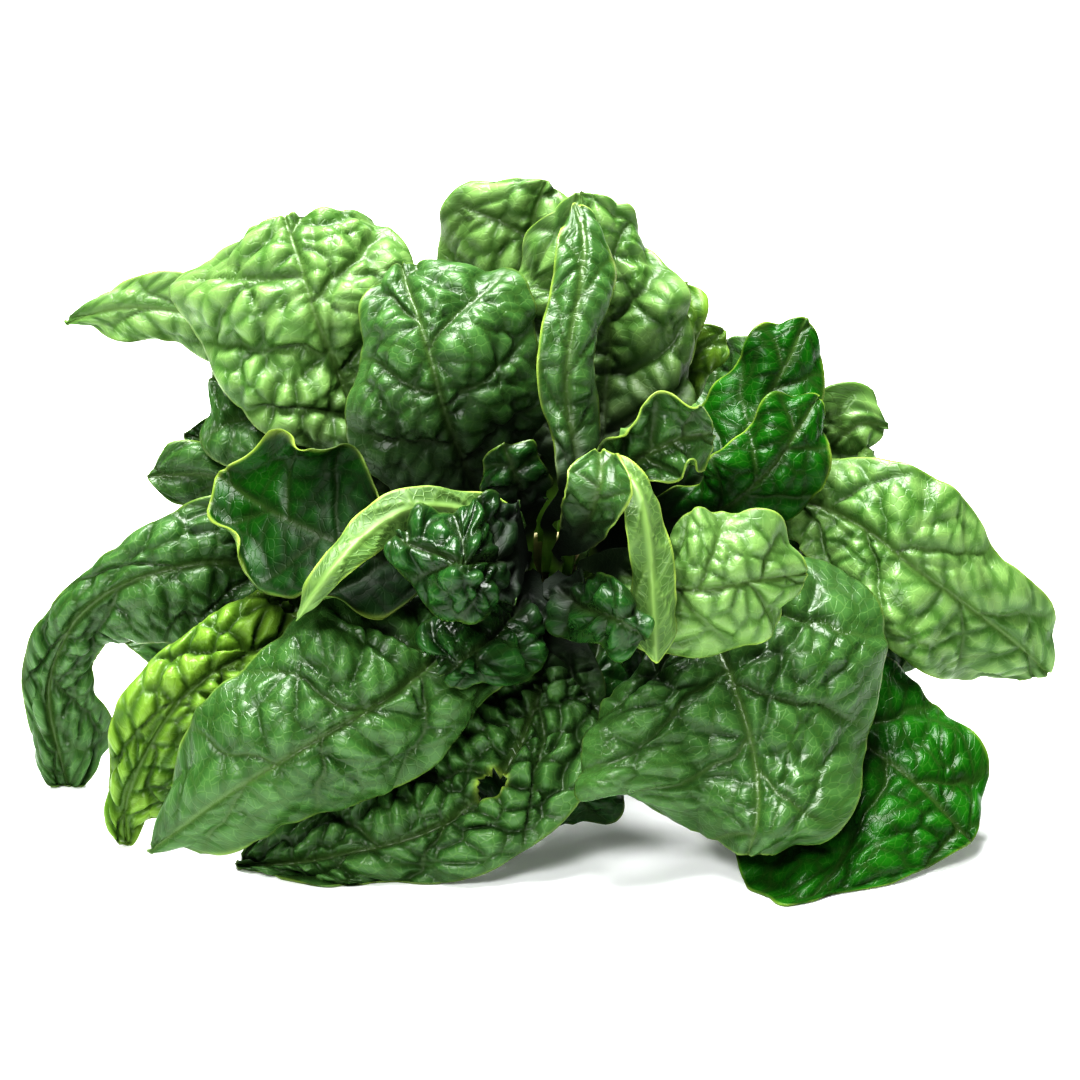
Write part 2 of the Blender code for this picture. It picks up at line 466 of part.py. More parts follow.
def build_leaf(item, collection):
    """A flat grid is bent into the leaf's surface, split into triangles and given its thickness."""
    marks = follow(item.stations)[2]
    heel, base = marks[item.heel_station], marks[item.heel_station + 1]
    petiole = [0.0, 0.45 * heel, 0.8 * heel, 0.94 * heel, (heel + base) * 0.5]
    along = np.concatenate([petiole, np.linspace(base, 1.0, item.cells + 1)])
    rows = len(along) - 1
    grid = bmesh.new()
    bmesh.ops.create_grid(grid, x_segments=item.columns, y_segments=rows, size=1.0)
    flat = np.array([vertex.co[:] for vertex in grid.verts])
    step = np.rint((flat[:, 1] + 1.0) * 0.5 * rows).astype(int)
    column = np.rint((flat[:, 0] + 1.0) * 0.5 * item.columns).astype(int)
    side = np.linspace(-1.0, 1.0, item.columns + 1)
    if item.flipped:
        side = -side
    fine_along, fine_side = master_grid()
    points = stand(bowed(draped(item, fine_along, fine_side), fine_along, fine_side, base))
    at_rows = np.stack([[np.interp(along, fine_along, points[:, c, k]) for c in range(MASTER_COLUMNS)]
                        for k in range(3)])
    across = np.stack([[np.interp(side, fine_side, at_rows[k, :, r]) for r in range(rows + 1)]
                       for k in range(3)])
    blade = (along - base) / (1.0 - base)
    stalk = 1.0 - smooth_step(blade / 0.2 + 0.5)
    clearance = FLOOR_CLEARANCE + (PETIOLE_THICK - BLADE_THICK) * stalk
    place = across[:, step, column].T
    place[:, 2] = np.maximum(place[:, 2], clearance[step] * MM)
    for vertex, point in zip(grid.verts, place):
        vertex.co = point
    bmesh.ops.triangulate(grid, faces=grid.faces[:], quad_method="SHORT_EDGE")
    mesh = bpy.data.meshes.new(item.name)
    grid.to_mesh(mesh)
    grid.free()

    keel = np.clip(1.0 - np.abs(side) * item.columns * 0.5, 0.0, 1.0)
    thick = np.maximum(stalk[:, None] * np.ones_like(side),
                       keel[None, :] * ((KEEL_THICK - BLADE_THICK) * (1.0 - np.clip(blade, 0.0, 1.0))
                                        / (PETIOLE_THICK - BLADE_THICK))[:, None])
    body = bpy.data.objects.new(item.name, mesh)
    collection.objects.link(body)
    group = body.vertex_groups.new(name="thick")
    for index, weight in enumerate(thick[step, column]):
        group.add([index], float(weight), "REPLACE")
    solid = body.modifiers.new("Thickness", "SOLIDIFY")
    solid.thickness = PETIOLE_THICK * MM
    solid.offset = 1.0 if item.flipped else -1.0
    solid.vertex_group = "thick"
    solid.thickness_vertex_group = BLADE_THICK / PETIOLE_THICK
    mesh.materials.append(new_material(item.name, TONES[item.tone], 0.4))
    return body


def build_crown(collection, cutters):
    """A turned stub with its axis along the bunch, flattened underneath where it lies on the surface."""
    stub = bmesh.new()
    outline = [(0.0, 0.0)] + CROWN_PROFILE + [(0.0, CROWN_PROFILE[-1][1])]
    chain = [stub.verts.new((radius * MM, 0.0, height * MM)) for radius, height in outline]
    edges = [stub.edges.new(pair) for pair in zip(chain[:-1], chain[1:])]
    bmesh.ops.spin(stub, geom=chain + edges, cent=(0, 0, 0), axis=(0, 0, 1), angle=2 * math.pi,
                   steps=CROWN_SIDES, use_duplicate=False)
    bmesh.ops.remove_doubles(stub, verts=stub.verts[:], dist=0.00001)
    bmesh.ops.recalc_face_normals(stub, faces=stub.faces[:])
    mesh = bpy.data.meshes.new("crown")
    stub.to_mesh(mesh)
    stub.free()
    crown = bpy.data.objects.new("crown", mesh)
    collection.objects.link(crown)
    place = stand(np.array([*CROWN_MIDDLE, CROWN_NEAR]))
    crown.location = place
    crown.rotation_euler = (math.pi / 2.0 - LEAN, 0.0, 0.0)
    mesh.materials.append(new_material("crown", CROWN_COLOUR, 0.6))

    size = 4.0 * CROWN_RADIUS * MM
    bpy.ops.mesh.primitive_cube_add(size=size, location=(place[0], place[1], -size / 2.0))
    surface = bpy.context.object
    surface.name = "surface_cutter"
    surface.hide_render = True
    surface.display_type = "WIRE"
    for home in list(surface.users_collection):
        home.objects.unlink(surface)
    cutters.objects.link(surface)
    flat = crown.modifiers.new("Flat underside", "BOOLEAN")
    flat.object = surface
    flat.operation = "DIFFERENCE"


def main():
    for old in list(bpy.data.objects):
        bpy.data.objects.remove(old, do_unlink=True)
    collection = bpy.data.collections.new("spinach_bunch")
    cutters = bpy.data.collections.new("cutters")
    bpy.context.scene.collection.children.link(collection)
    bpy.context.scene.collection.children.link(cutters)
    place_petioles()
    drape_all()
    for ring in RINGS:
        for item in ring:
            build_leaf(item, collection)
    build_crown(collection, cutters)


main()
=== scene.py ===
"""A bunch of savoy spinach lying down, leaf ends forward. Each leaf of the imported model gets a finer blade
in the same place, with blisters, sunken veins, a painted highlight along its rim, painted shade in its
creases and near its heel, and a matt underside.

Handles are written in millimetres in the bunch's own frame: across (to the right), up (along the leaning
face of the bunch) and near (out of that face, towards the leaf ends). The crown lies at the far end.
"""

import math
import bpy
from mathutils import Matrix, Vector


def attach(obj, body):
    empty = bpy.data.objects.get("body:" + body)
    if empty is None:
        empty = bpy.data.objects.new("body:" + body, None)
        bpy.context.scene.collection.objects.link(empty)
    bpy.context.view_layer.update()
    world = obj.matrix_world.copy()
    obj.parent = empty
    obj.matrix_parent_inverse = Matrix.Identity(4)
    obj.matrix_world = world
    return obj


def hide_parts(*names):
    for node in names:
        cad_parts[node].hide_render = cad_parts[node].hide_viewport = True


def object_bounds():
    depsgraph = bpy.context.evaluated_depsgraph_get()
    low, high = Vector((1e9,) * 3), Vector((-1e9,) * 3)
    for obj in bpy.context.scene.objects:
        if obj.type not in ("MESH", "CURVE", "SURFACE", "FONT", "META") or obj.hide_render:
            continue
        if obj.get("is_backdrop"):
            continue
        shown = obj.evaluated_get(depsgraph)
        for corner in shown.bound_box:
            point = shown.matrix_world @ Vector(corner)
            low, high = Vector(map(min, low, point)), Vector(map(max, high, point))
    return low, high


bl_info = {
    "name": "Spinach Bunch",
    "version": (1, 0, 0),
    "blender": (4, 5, 0),
    "location": "View3D > Sidebar > Spinach",
    "description": "Builds a bunch of savoy spinach leaf by leaf, with its crown and a small studio",
    "category": "Add Mesh",
}

from types import SimpleNamespace

import bmesh
import bpy
import numpy as np
from bpy.props import FloatProperty, FloatVectorProperty, PointerProperty
from mathutils import Vector

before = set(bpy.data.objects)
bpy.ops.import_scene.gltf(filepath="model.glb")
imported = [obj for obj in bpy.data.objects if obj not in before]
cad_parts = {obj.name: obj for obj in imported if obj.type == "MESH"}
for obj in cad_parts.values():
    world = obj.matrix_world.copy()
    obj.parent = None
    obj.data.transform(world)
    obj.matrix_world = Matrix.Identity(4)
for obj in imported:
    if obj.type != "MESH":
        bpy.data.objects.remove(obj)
CAD_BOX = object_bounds()

MM = 0.001
# How the bunch lies
LEAN = math.radians(17.0)     # the leaf ends are this much higher than the crown
TAPER_LENGTH = 1080.0         # the bunch narrows towards its leaf ends, to nothing at this distance
HOLLOW = (1.5, -6.0)          # middle of the rosette on its face, across and up
SET_DOWN = (-0.05, -20.3, 73.8)  # the middle of the bunch's face, from the middle of its box on the surface

# Crown and petioles
CROWN_MIDDLE = (1.5, -16.0)   # across and up
CROWN_NEAR = -128.0
CROWN_PROFILE = [(18.5, 0.0), (20.5, -3.0), (19.5, -9.0), (14.5, -16.0), (8.0, -21.0), (6.5, -30.0)]
SEAT_GAP = 0.5
SEAT_STRAIGHT = 10.0          # each petiole leaves the crown square to its face
HEEL_RADII = (5.5, 13.0, 19.0, 25.0, 31.0, 28.0)
SEAT_RADII = (3.2, 6.3, 9.4, 12.5, 15.6, 18.7)
PETIOLE_HALF_WIDTHS = (2.0, 2.0, 2.4, 2.8, 3.2, 7.4)
HEEL_SPACINGS = (6.4, 6.4, 8.2, 8.2, 8.2, 8.2)
SEAT_SPACING = 5.6
PETIOLE_THICK = 2.4
HEEL_BEND = 10.0

# Leaf blades
BASE_FOLD = 30.0              # degrees that each side rises by where the blade begins
BLADE_THICK = 0.9
TIP_BOW = 0.1                 # how far the tip's corners are drawn back, as a share of the blade
GAP = 4.3                     # between the middle surfaces of two leaves that lie on each other
DRAPE_SLOPE = 0.8             # steepest slope that draping adds to a blade

# The grid that draping is worked out on
CELL = 1.5
REACH_ACROSS = 168.0
REACH_UP = 126.0
PATH_STEPS = 400
MASTER_ROWS = 97
MASTER_COLUMNS = 33

# The finer blades
PETIOLE_STEP = 4.0            # between rows on a petiole
NEAR_CLEARANCE = 0.9          # least height of the near surface over the floor
FAR_CLEARANCE = 0.15

# The finer crown
CROWN_ROWS = 90
CROWN_COLUMNS = 180
CROWN_RIBS = 19
MERGE = 0.00002               # points of a pole that lie closer than this are one, in metres

# The studio, in metres; the sensor is in millimetres
FLOOR_COLOUR = (0.93, 0.94, 0.95, 1.0)
WHITE = (1.0, 1.0, 1.0, 1.0)
GLOW_FROM = 0.12              # distance from the bunch at which the floor begins to glow
GLOW_TO = 0.8
WORLD_LIGHT = 0.12
FRONT_SHARE = 0.45            # the front light's power as a share of the key light's
SENSOR = 36.0

# Cells of the net of smallest veins, to a metre
NET_SCALE = 430.0

# Finishes by tone: deep and bright green of the upper side, how pale its veins are, its roughness and
# specular level, and the underside's green
FINISHES = {
    "light": ((0.034, 0.110, 0.016), (0.160, 0.280, 0.084), 0.34, 0.33, 0.30, (0.130, 0.250, 0.060)),
    "mid": ((0.013, 0.056, 0.008), (0.058, 0.138, 0.036), 0.26, 0.30, 0.30, (0.065, 0.155, 0.030)),
    "dark": ((0.004, 0.030, 0.004), (0.022, 0.082, 0.016), 0.16, 0.27, 0.28, (0.032, 0.090, 0.018)),
    "glossy": ((0.002, 0.034, 0.001), (0.012, 0.098, 0.005), 0.16, 0.27, 0.14, (0.040, 0.110, 0.014)),
    "yellow": ((0.034, 0.105, 0.006), (0.150, 0.265, 0.034), 0.30, 0.32, 0.25, (0.120, 0.225, 0.034)),
    "pale": ((0.026, 0.095, 0.010), (0.072, 0.180, 0.030), 0.34, 0.36, 0.25, (0.080, 0.165, 0.036)),
}


def leaf(name, rows, arch=-40.0, tilt=0.0, ruffle=2.6, pucker=1.8, pairs=4, flipped=False, tone="mid",
         finish=None, blister=1.0, lump=1.5, frill=0.5, calm=0.75, quiet_tip=0.0, gloom=0.2, rim=0.3,
         rim_width=0.4, holes=()):
    """One leaf. Each row is a station on the midrib from the base to the tip: across, up, near, and the
    half widths to the left and right as seen from the base. Angles are in degrees: arch bends the left and
    right sides (below 0 away from the viewer) and tilt turns the blade about its midrib. Ruffle and pucker
    are heights in mm and pairs counts the side veins. The tone is the node's, and the finish is the scene's
    where it differs; some of these finishes paint light and shade, lighter on a lit leaf and darker on a
    shaded one. Blister and lump scale the fine and the broad domes and frill is the margin's wave.
    Calm is the share of the half width where the relief is full, quiet_tip takes relief from the far half,
    the heel-shade argument is the share of the blade from its base that painted shade darkens, and the rim
    values are the strength and the width in mm of a painted highlight along the margin. A hole is its middle
    and its reach along and across, in mm."""
    item = SimpleNamespace(**locals())
    item.rows = np.array(rows, float)
    item.arch = np.broadcast_to(arch, 2)
    item.lift = None
    return item


# Rings of leaves, from the heart of the rosette outwards. In each ring a later leaf lies nearer the viewer.
SMALL = dict(ruffle=1.4, pucker=1.2, pairs=3)
RINGS = [
    [
        leaf("leaf_centre_low", [(-4, -15, 30, 8, 8), (-8, -22, 46, 14, 14), (-15, -29, 58, 16, 17),
             (-24, -35, 60, 12, 14), (-31, -41, 54, 7, 7)], arch=-60, pucker=3.0, pairs=3, tone="dark",
             lump=2.6, blister=2.2, gloom=0.6, rim=0.1),
        leaf("leaf_dark_fold", [(5, -13, 30, 6, 5), (12, -20, 46, 10, 10), (23, -25, 54, 11, 9),
             (32, -31, 52, 6, 6)], arch=-70, tone="dark", pairs=3, lump=2.6, blister=1.2, gloom=0.8,
             rim=0.1),
        leaf("leaf_centre_left", [(-6, -5, 32, 10, 15), (-14, -5, 48, 16, 18), (-25, -5, 60, 18, 16),
             (-36, -2, 60, 13, 12), (-44, 3, 52, 6, 6)], arch=-60, pucker=3.0, pairs=3, tone="dark",
             lump=2.6, blister=2.2, gloom=0.6, rim=0.1),
        leaf("leaf_pocket", [(10, 0, 22, 5, 5), (15, 9, 36, 9, 9), (18, 20, 42, 9, 9), (18, 28, 38, 5, 5)],
             arch=50, tone="mid", gloom=0.9, rim=0.7, **SMALL),
    ],
    [
        leaf("leaf_heart", [(-4.5, 10, 15, 8, 7), (-7, 18, 24, 11, 10), (-11, 29, 26, 7, 7)], arch=-50,
             tone="dark", gloom=0.9, **SMALL),
        leaf("leaf_hood_flap", [(11, 14, 11, 6, 8), (11, 28, 20, 7, 8), (8, 42, 25, 8, 8),
             (9, 60, 25, 9, 9), (12, 76, 20, 9, 9), (13, 92, 12, 7, 7), (10, 102, 4, 4, 4)],
             arch=(-20, -75), ruffle=1.6, pucker=0.8, tone="light", lump=1.0, blister=0.5, frill=0.2,
             gloom=0.45, rim=0.7, rim_width=0.5, finish="mid"),
        # The cup's dark glossy finish and its long heel shade paint the shade inside it.
        leaf("leaf_cup", [(-28, -8, 22, 7, 7), (-50, -4, 28, 17, 16), (-70, 4, 32, 21, 25),
             (-86, 12, 30, 16, 21), (-97, 20, 26, 9, 9)], arch=(75, 65), ruffle=4.0, tone="mid", lump=0.8,
             blister=0.5, frill=0.9, finish="glossy", gloom=1.7, rim=0.8, rim_width=0.9),
        leaf("leaf_front_light", [(23, -8, 46, 6, 6), (32, -13, 60, 11, 16), (48, -15, 70, 24, 21),
             (66, -12, 68, 21, 15), (81, -10, 58, 9, 6)], pucker=2.2, tone="light", lump=0.9, blister=0.9,
             rim=0.6),
        leaf("leaf_rosette", [(18, 15, 46, 4, 4), (29, 24, 56, 10, 8), (41, 30, 58, 13, 10),
             (53, 32, 50, 8, 7)], arch=55, ruffle=3.2, tone="dark", lump=1.6, blister=1.4, finish="mid",
             gloom=0.4, rim=0.6),
        leaf("leaf_strip", [(16, 12, 40, 3, 3), (23, 21, 56, 4, 4), (29, 15, 68, 5, 5), (32.5, 0, 76, 6, 6),
             (34, -20, 80, 7.5, 7), (35, -37, 78, 6, 6)], arch=-40, flipped=True, tone="pale", ruffle=1.0,
             pucker=0.6, lump=0.3, blister=0.3, frill=0.3, rim=0.9),
        leaf("leaf_twist", [(-8, 5, 40, 6, 4), (-22, 9, 54, 7, 6), (-40, 9, 64, 7, 6.5),
             (-55, -1, 68, 5.5, 6), (-66, -14, 68, 4, 4), (-73, -24, 66, 1.5, 1.5)], arch=-45, flipped=True,
             tone="pale", ruffle=1.0, pucker=0.6, lump=0.3, blister=0.3, frill=0.3, rim=0.9),
    ],
    [
        leaf("leaf_front_core", [(18, -26, 26, 8, 8), (12, -46, 42, 22, 20), (1, -67, 48, 27, 29),
             (-4, -86, 42, 20, 25)], pucker=2.6, tone="dark"),
        leaf("leaf_front_middle", [(2, -29, 24, 12, 12), (0, -38, 38, 19, 17), (-6, -60, 58, 25, 29),
             (-27, -83, 66, 20, 26), (-60, -94, 64, 11, 18), (-92, -97, 56, 6, 10)], tilt=-18, arch=-30,
             pucker=2.6, tone="dark", lump=2.4, blister=2.0, finish="mid", gloom=0.3,
             holes=((64.0, -1.0, 4.6, 3.0),)),
        leaf("leaf_front_left", [(-17, -20, 36, 11, 11), (-26, -30, 53, 20, 24), (-44, -46, 72, 23, 36),
             (-72, -63, 78, 22, 31), (-99, -80, 72, 13, 18), (-118, -94, 62, 4, 4)], arch=-50, pucker=2.4,
             tone="mid", lump=3.2, blister=0.8, calm=0.5, quiet_tip=0.6, gloom=0.15),
        leaf("leaf_folded", [(34, 4, -2, 8, 8), (56, 9, 8, 14, 12), (69, 21, 14, 15, 16),
             (78, 34, 12, 12, 10), (84, 44, 4, 6, 5)], tone="light", lump=0.9, blister=0.5, finish="glossy",
             gloom=0.4, rim=0.6),
        leaf("leaf_front_right", [(36, -14, 28, 14, 14), (52, -30, 48, 44, 34), (59, -46, 62, 47, 50),
             (64, -64, 66, 37, 53), (65, -82, 62, 24, 48), (62, -95, 54, 12, 34)], arch=-50, pucker=2.6,
             tone="dark", lump=3.2, blister=0.7, calm=0.55, quiet_tip=0.5, finish="mid", gloom=0.25),
        leaf("leaf_upper_middle", [(-16, 11, -4, 14, 18), (-23, 23, 10, 25, 25), (-29, 40, 22, 29, 31),
             (-35, 62, 22, 21, 33), (-40, 77, 12, 11, 25), (-42, 84, 4, 7, 12)], arch=-50, pucker=2.2,
             tone="mid", lump=2.2, blister=0.9, calm=0.6, gloom=0.7),
    ],
    [
        leaf("leaf_left_arch", [(-48, -6, 2, 10, 10), (-78, -8, 14, 27, 18), (-102, -7, 22, 25, 18),
             (-124, -13, 22, 19, 12), (-140, -25, 15, 13, 9), (-147, -43, 4, 13, 7), (-144, -66, -4, 17, 9),
             (-140, -79, -8, 13, 9)], pucker=2.4, tone="mid", lump=2.0, blister=1.8, calm=0.6, gloom=0.45),
        leaf("leaf_lower_left", [(-36, -18, 16, 10, 10), (-64, -25, 34, 18, 14), (-88, -34, 48, 20, 16),
             (-107, -47, 53, 19, 15), (-119, -66, 50, 15, 10), (-125, -84, 42, 10, 7),
             (-124, -94, 38, 6, 5)], ruffle=3.4, pucker=2.6, tone="yellow", lump=1.4, blister=2.4,
             gloom=0.4),
        # Its dark glossy finish paints the shade it lies in, under leaf_right.
        leaf("leaf_right_low", [(56, -28, 2, 12, 20), (78, -46, 20, 20, 40), (97, -60, 36, 24, 57),
             (115, -74, 46, 20, 54), (130, -90, 50, 12, 34)], arch=-14, tilt=38, pucker=2.2, tone="mid",
             lump=1.8, blister=0.5, calm=0.5, finish="glossy", gloom=0.5),
        leaf("leaf_right", [(54, 10, -12, 12, 12), (82, 11, 2, 16, 13), (98, 3, 12, 22, 18),
             (112, -8, 16, 26, 24), (130, -21, 12, 18, 22), (144, -32, 4, 14, 16), (153, -41, -4, 9, 9)],
             arch=-35, tone="light", lump=1.8, blister=0.5, rim=0.4),
        leaf("leaf_upright", [(40, 14, -18, 8, 8), (57, 26, -10, 13, 13), (66, 40, -5, 15, 15),
             (74, 53, -4, 13, 12), (80, 67, -9, 8, 7)], tone="mid", lump=0.5, blister=0.3, finish="glossy",
             gloom=0.6, rim=0.5),
        # Its light finish paints the light on its right wall; its heel shade paints the dark inside.
        leaf("leaf_hood", [(14, 21, -14, 15, 14), (18, 36, -12, 28, 22), (20, 56, -14, 34, 27),
             (19, 80, -12, 34, 19), (14, 96, -12, 20, 12), (12, 105, -14, 9, 9)], arch=(-35, -50),
             pucker=3.0, pairs=5, tone="mid", lump=2.2, blister=0.8, gloom=0.85, finish="light"),
        leaf("leaf_upper_left", [(-34, 22, -20, 12, 12), (-52, 37, -10, 20, 18), (-60, 50, -4, 29, 26),
             (-67, 66, 2, 36, 30), (-72, 83, -2, 38, 30), (-77, 98, -12, 28, 24)], arch=-50, pucker=3.0,
             tone="light", lump=2.4, blister=1.0, gloom=0.55),
    ],
    [
        leaf("leaf_left_tip", [(-46, 34, -44, 8, 8), (-84, 60, -34, 13, 13), (-112, 69, -32, 10, 10),
             (-130, 69, -34, 7, 7), (-143, 65, -38, 2.5, 3)], tone="light", lump=0.6, blister=0.5),
        leaf("leaf_left_dark", [(-50, 14, -28, 6, 6), (-75, 22, -24, 9, 9), (-95, 29, -22, 8, 7),
             (-107, 32, -22, 4, 4)], tone="dark", **SMALL),
        leaf("leaf_left_small", [(-50, 6, -26, 6, 6), (-80, 13, -22, 10, 10), (-101, 19, -18, 11, 11),
             (-118, 19, -18, 6, 7)], tone="mid", **SMALL),
        leaf("leaf_left_behind", [(-28, 10, -20, 12, 12), (-50, 20, -16, 20, 18), (-72, 34, -12, 20, 21),
             (-90, 44, -14, 18, 18), (-99, 50, -18, 10, 11)], pucker=2.4, tone="mid"),
        leaf("leaf_top", [(3, 34, -34, 10, 10), (0, 60, -30, 22, 20), (-4, 84, -28, 28, 25),
             (-1, 100, -24, 22, 22), (2, 108, -24, 15, 16)], pucker=2.4, tone="light", lump=2.0,
             blister=1.8),
        leaf("leaf_pale_right", [(30, 30, -28, 5, 5), (38, 44, -24, 8, 8), (47, 56, -22, 8, 8),
             (56, 63, -24, 4, 4)], tone="yellow", **SMALL),
        leaf("leaf_pale_top", [(26, 38, -26, 5, 5), (36, 54, -22, 8, 8), (43, 68, -20, 7, 7),
             (44, 78, -22, 4, 4)], tone="yellow", **SMALL),
        leaf("leaf_right_behind", [(50, 14, -28, 8, 8), (72, 22, -24, 12, 11), (87, 28, -20, 15, 14),
             (97, 35, -18, 11, 11), (105, 34, -20, 5, 8)], tone="light"),
        leaf("leaf_right_under", [(48, -8, -14, 12, 12), (72, -14, -6, 20, 20), (92, -24, -2, 19, 19),
             (108, -40, -6, 9, 10)], tone="dark"),
    ],
    [
        leaf("leaf_back_up", [(0, 32, -84, 17, 17), (-1, 54, -70, 26, 26), (0, 77, -56, 27, 27),
             (2, 96, -50, 15, 15)]),
        leaf("leaf_back_left_up", [(-28, 18, -84, 17, 17), (-44, 32, -72, 25, 25), (-66, 52, -58, 27, 25),
             (-83, 70, -50, 15, 15)]),
        leaf("leaf_back_left", [(-36, -8, -84, 17, 17), (-60, -10, -68, 25, 25), (-94, -18, -50, 27, 25),
             (-124, -31, -40, 14, 14)]),
        leaf("leaf_back_low_left", [(-19, -34, -82, 16, 17), (-34, -43, -56, 22, 24),
             (-62, -51, -26, 21, 20), (-94, -57, -4, 12, 12)]),
        leaf("leaf_back_low_right", [(22, -34, -82, 17, 16), (38, -43, -56, 24, 22), (68, -51, -24, 20, 21),
             (96, -57, -2, 12, 12)]),
        leaf("leaf_back_right", [(39, -9, -77, 15, 15), (62, -11, -65, 24, 24), (92, -18, -51, 26, 25),
             (122, -30, -42, 14, 14)]),
        leaf("leaf_back_right_up", [(30, 18, -79, 16, 16), (46, 29, -69, 23, 24), (64, 40, -60, 22, 21),
             (80, 50, -54, 12, 12)]),
    ],
]
for number, item in enumerate(item for ring in RINGS for item in ring):
    item.seed = 1000 + 20 * number


def smooth_step(x):
    """0 below 0, 1 above 1, and a smooth S between them."""
    x = np.clip(x, 0.0, 1.0)
    return x * x * (3.0 - 2.0 * x)


def spread_angles(angles, least):
    """The angles moved apart, in their order round the circle, until neighbours have the least spacing."""
    order = np.argsort(angles)
    spread = angles[order].astype(float)
    for _ in range(200):
        after = np.roll(spread, -1)
        after[-1] += 2.0 * math.pi
        short = np.maximum(least - (after - spread), 0.0) * 0.5
        spread = spread - short + np.roll(short, 1)
    result = np.empty_like(spread)
    result[order] = spread
    return result


def place_petioles():
    """Gives each leaf its seat on the crown and its heel on the rosette's face, ring by ring."""
    for ring, heel_radius, heel_spacing, seat_radius, width in zip(RINGS, HEEL_RADII, HEEL_SPACINGS,
                                                                   SEAT_RADII, PETIOLE_HALF_WIDTHS):
        starts = np.array([item.rows[0, :2] - HOLLOW for item in ring])
        wanted = np.arctan2(starts[:, 1], starts[:, 0])
        heels = spread_angles(wanted, min(heel_spacing / heel_radius, 2.0 * math.pi / len(ring)))
        seats = spread_angles(heels, min(SEAT_SPACING / seat_radius, 2.0 * math.pi / len(ring)))
        for item, heel_angle, seat_angle in zip(ring, heels, seats):
            heel = np.array(HOLLOW) + heel_radius * np.array([math.cos(heel_angle), math.sin(heel_angle)])
            seat = np.array(CROWN_MIDDLE) + seat_radius * np.array([math.cos(seat_angle),
                                                                    math.sin(seat_angle)])
            run = np.linalg.norm(item.rows[0, :2] - heel)
            heel_near = item.rows[0, 2] - HEEL_BEND - 0.4 * run
            item.angles = (seat_angle, heel_angle)
            start = CROWN_NEAR + SEAT_GAP
            stations = [[*seat, start, width * 0.85, width * 0.85],
                        [*seat, start + SEAT_STRAIGHT, width * 0.85, width * 0.85]]
            for share in (0.35, 0.7):
                turn = seat_angle + share * (heel_angle - seat_angle)
                reach = seat_radius + share * (heel_radius - seat_radius)
                middle = np.array(CROWN_MIDDLE) * (1.0 - share) + np.array(HOLLOW) * share
                stations.append([middle[0] + reach * math.cos(turn), middle[1] + reach * math.sin(turn),
                                 start + SEAT_STRAIGHT + share * (heel_near - start - SEAT_STRAIGHT),
                                 width, width])
            stations.append([*heel, heel_near, width * 1.15, width * 1.15])
            item.stations = np.vstack([stations, item.rows])
            item.heel_station = len(stations) - 1


def follow(stations):
    """A smooth path through the stations: a cubic on chord length whose slopes are weighted means of the
    slopes on either side, and no narrower than its narrowest station. Returns samples of all columns, the
    fraction of the length at each, and at each station."""
    steps = np.linalg.norm(np.diff(stations[:, :3], axis=0), axis=1)
    knots = np.concatenate([[0.0], np.cumsum(steps)])
    slopes = np.diff(stations, axis=0) / steps[:, None]
    inner = slopes[1:] * steps[:-1, None] + slopes[:-1] * steps[1:, None]
    inner = inner / (steps[1:] + steps[:-1])[:, None]
    tangents = np.vstack([slopes[:1], inner, slopes[-1:]])
    x = np.linspace(0.0, knots[-1], PATH_STEPS)
    i = np.clip(np.searchsorted(knots, x, side="right") - 1, 0, len(steps) - 1)
    h = steps[i][:, None]
    u = ((x - knots[i]) / steps[i])[:, None]
    samples = ((1 + 2 * u) * (1 - u) ** 2 * stations[i] + u * (1 - u) ** 2 * h * tangents[i]
               + u * u * (3 - 2 * u) * stations[i + 1] + u * u * (u - 1) * h * tangents[i + 1])
    samples[:, 3:] = np.maximum(samples[:, 3:], stations[:, 3:].min(axis=0))
    length = np.concatenate([[0.0], np.cumsum(np.linalg.norm(np.diff(samples[:, :3], axis=0), axis=1))])
    marks = np.interp(knots, x, length) / length[-1]
    return samples, length / length[-1], marks


def cross_section(bend, tilt):
    """One side of the blade seen along the midrib: its angle is the tilt and grows evenly by the bend.
    Returns how far out and how far near it reaches, for a half width of 1."""
    out = np.linspace(0.0, 1.0, 41)
    angle = np.radians(tilt[:, None] + bend[:, None] * out)
    step = out[1]
    reach = np.cumsum(np.cos(angle), axis=1) * step
    rise = np.cumsum(np.sin(angle), axis=1) * step
    reach = np.hstack([np.zeros((len(bend), 1)), reach[:, :-1]])
    rise = np.hstack([np.zeros((len(bend), 1)), rise[:, :-1]])
    widest = reach.max(axis=1)[:, None]
    return out, reach / widest, rise / widest


def relief(item, along, side):
    """Height of the puckered tissue over the blade's middle surface. Side veins leave the midrib in pairs
    and slant to the tip; between them the blade bulges, and towards the margin it waves."""
    blade = smooth_step(along / 0.12)
    out = np.abs(side)
    veins = item.pairs * (along - 0.22 * out) + np.where(side < 0.0, 0.0, 0.35)
    bulge = np.abs(np.sin(np.pi * veins)) - 0.55
    bulge *= smooth_step(out / 0.3) * (0.75 + 0.25 * np.cos(5.0 * out + 2.0 * along))
    wave = np.sin(2.0 * np.pi * (0.5 * item.pairs + 0.6) * along + np.where(side < 0.0, 0.7, 2.6))
    height = item.pucker * bulge + item.ruffle * out ** 2.5 * wave
    return blade * height * (-1.0 if item.flipped else 1.0)


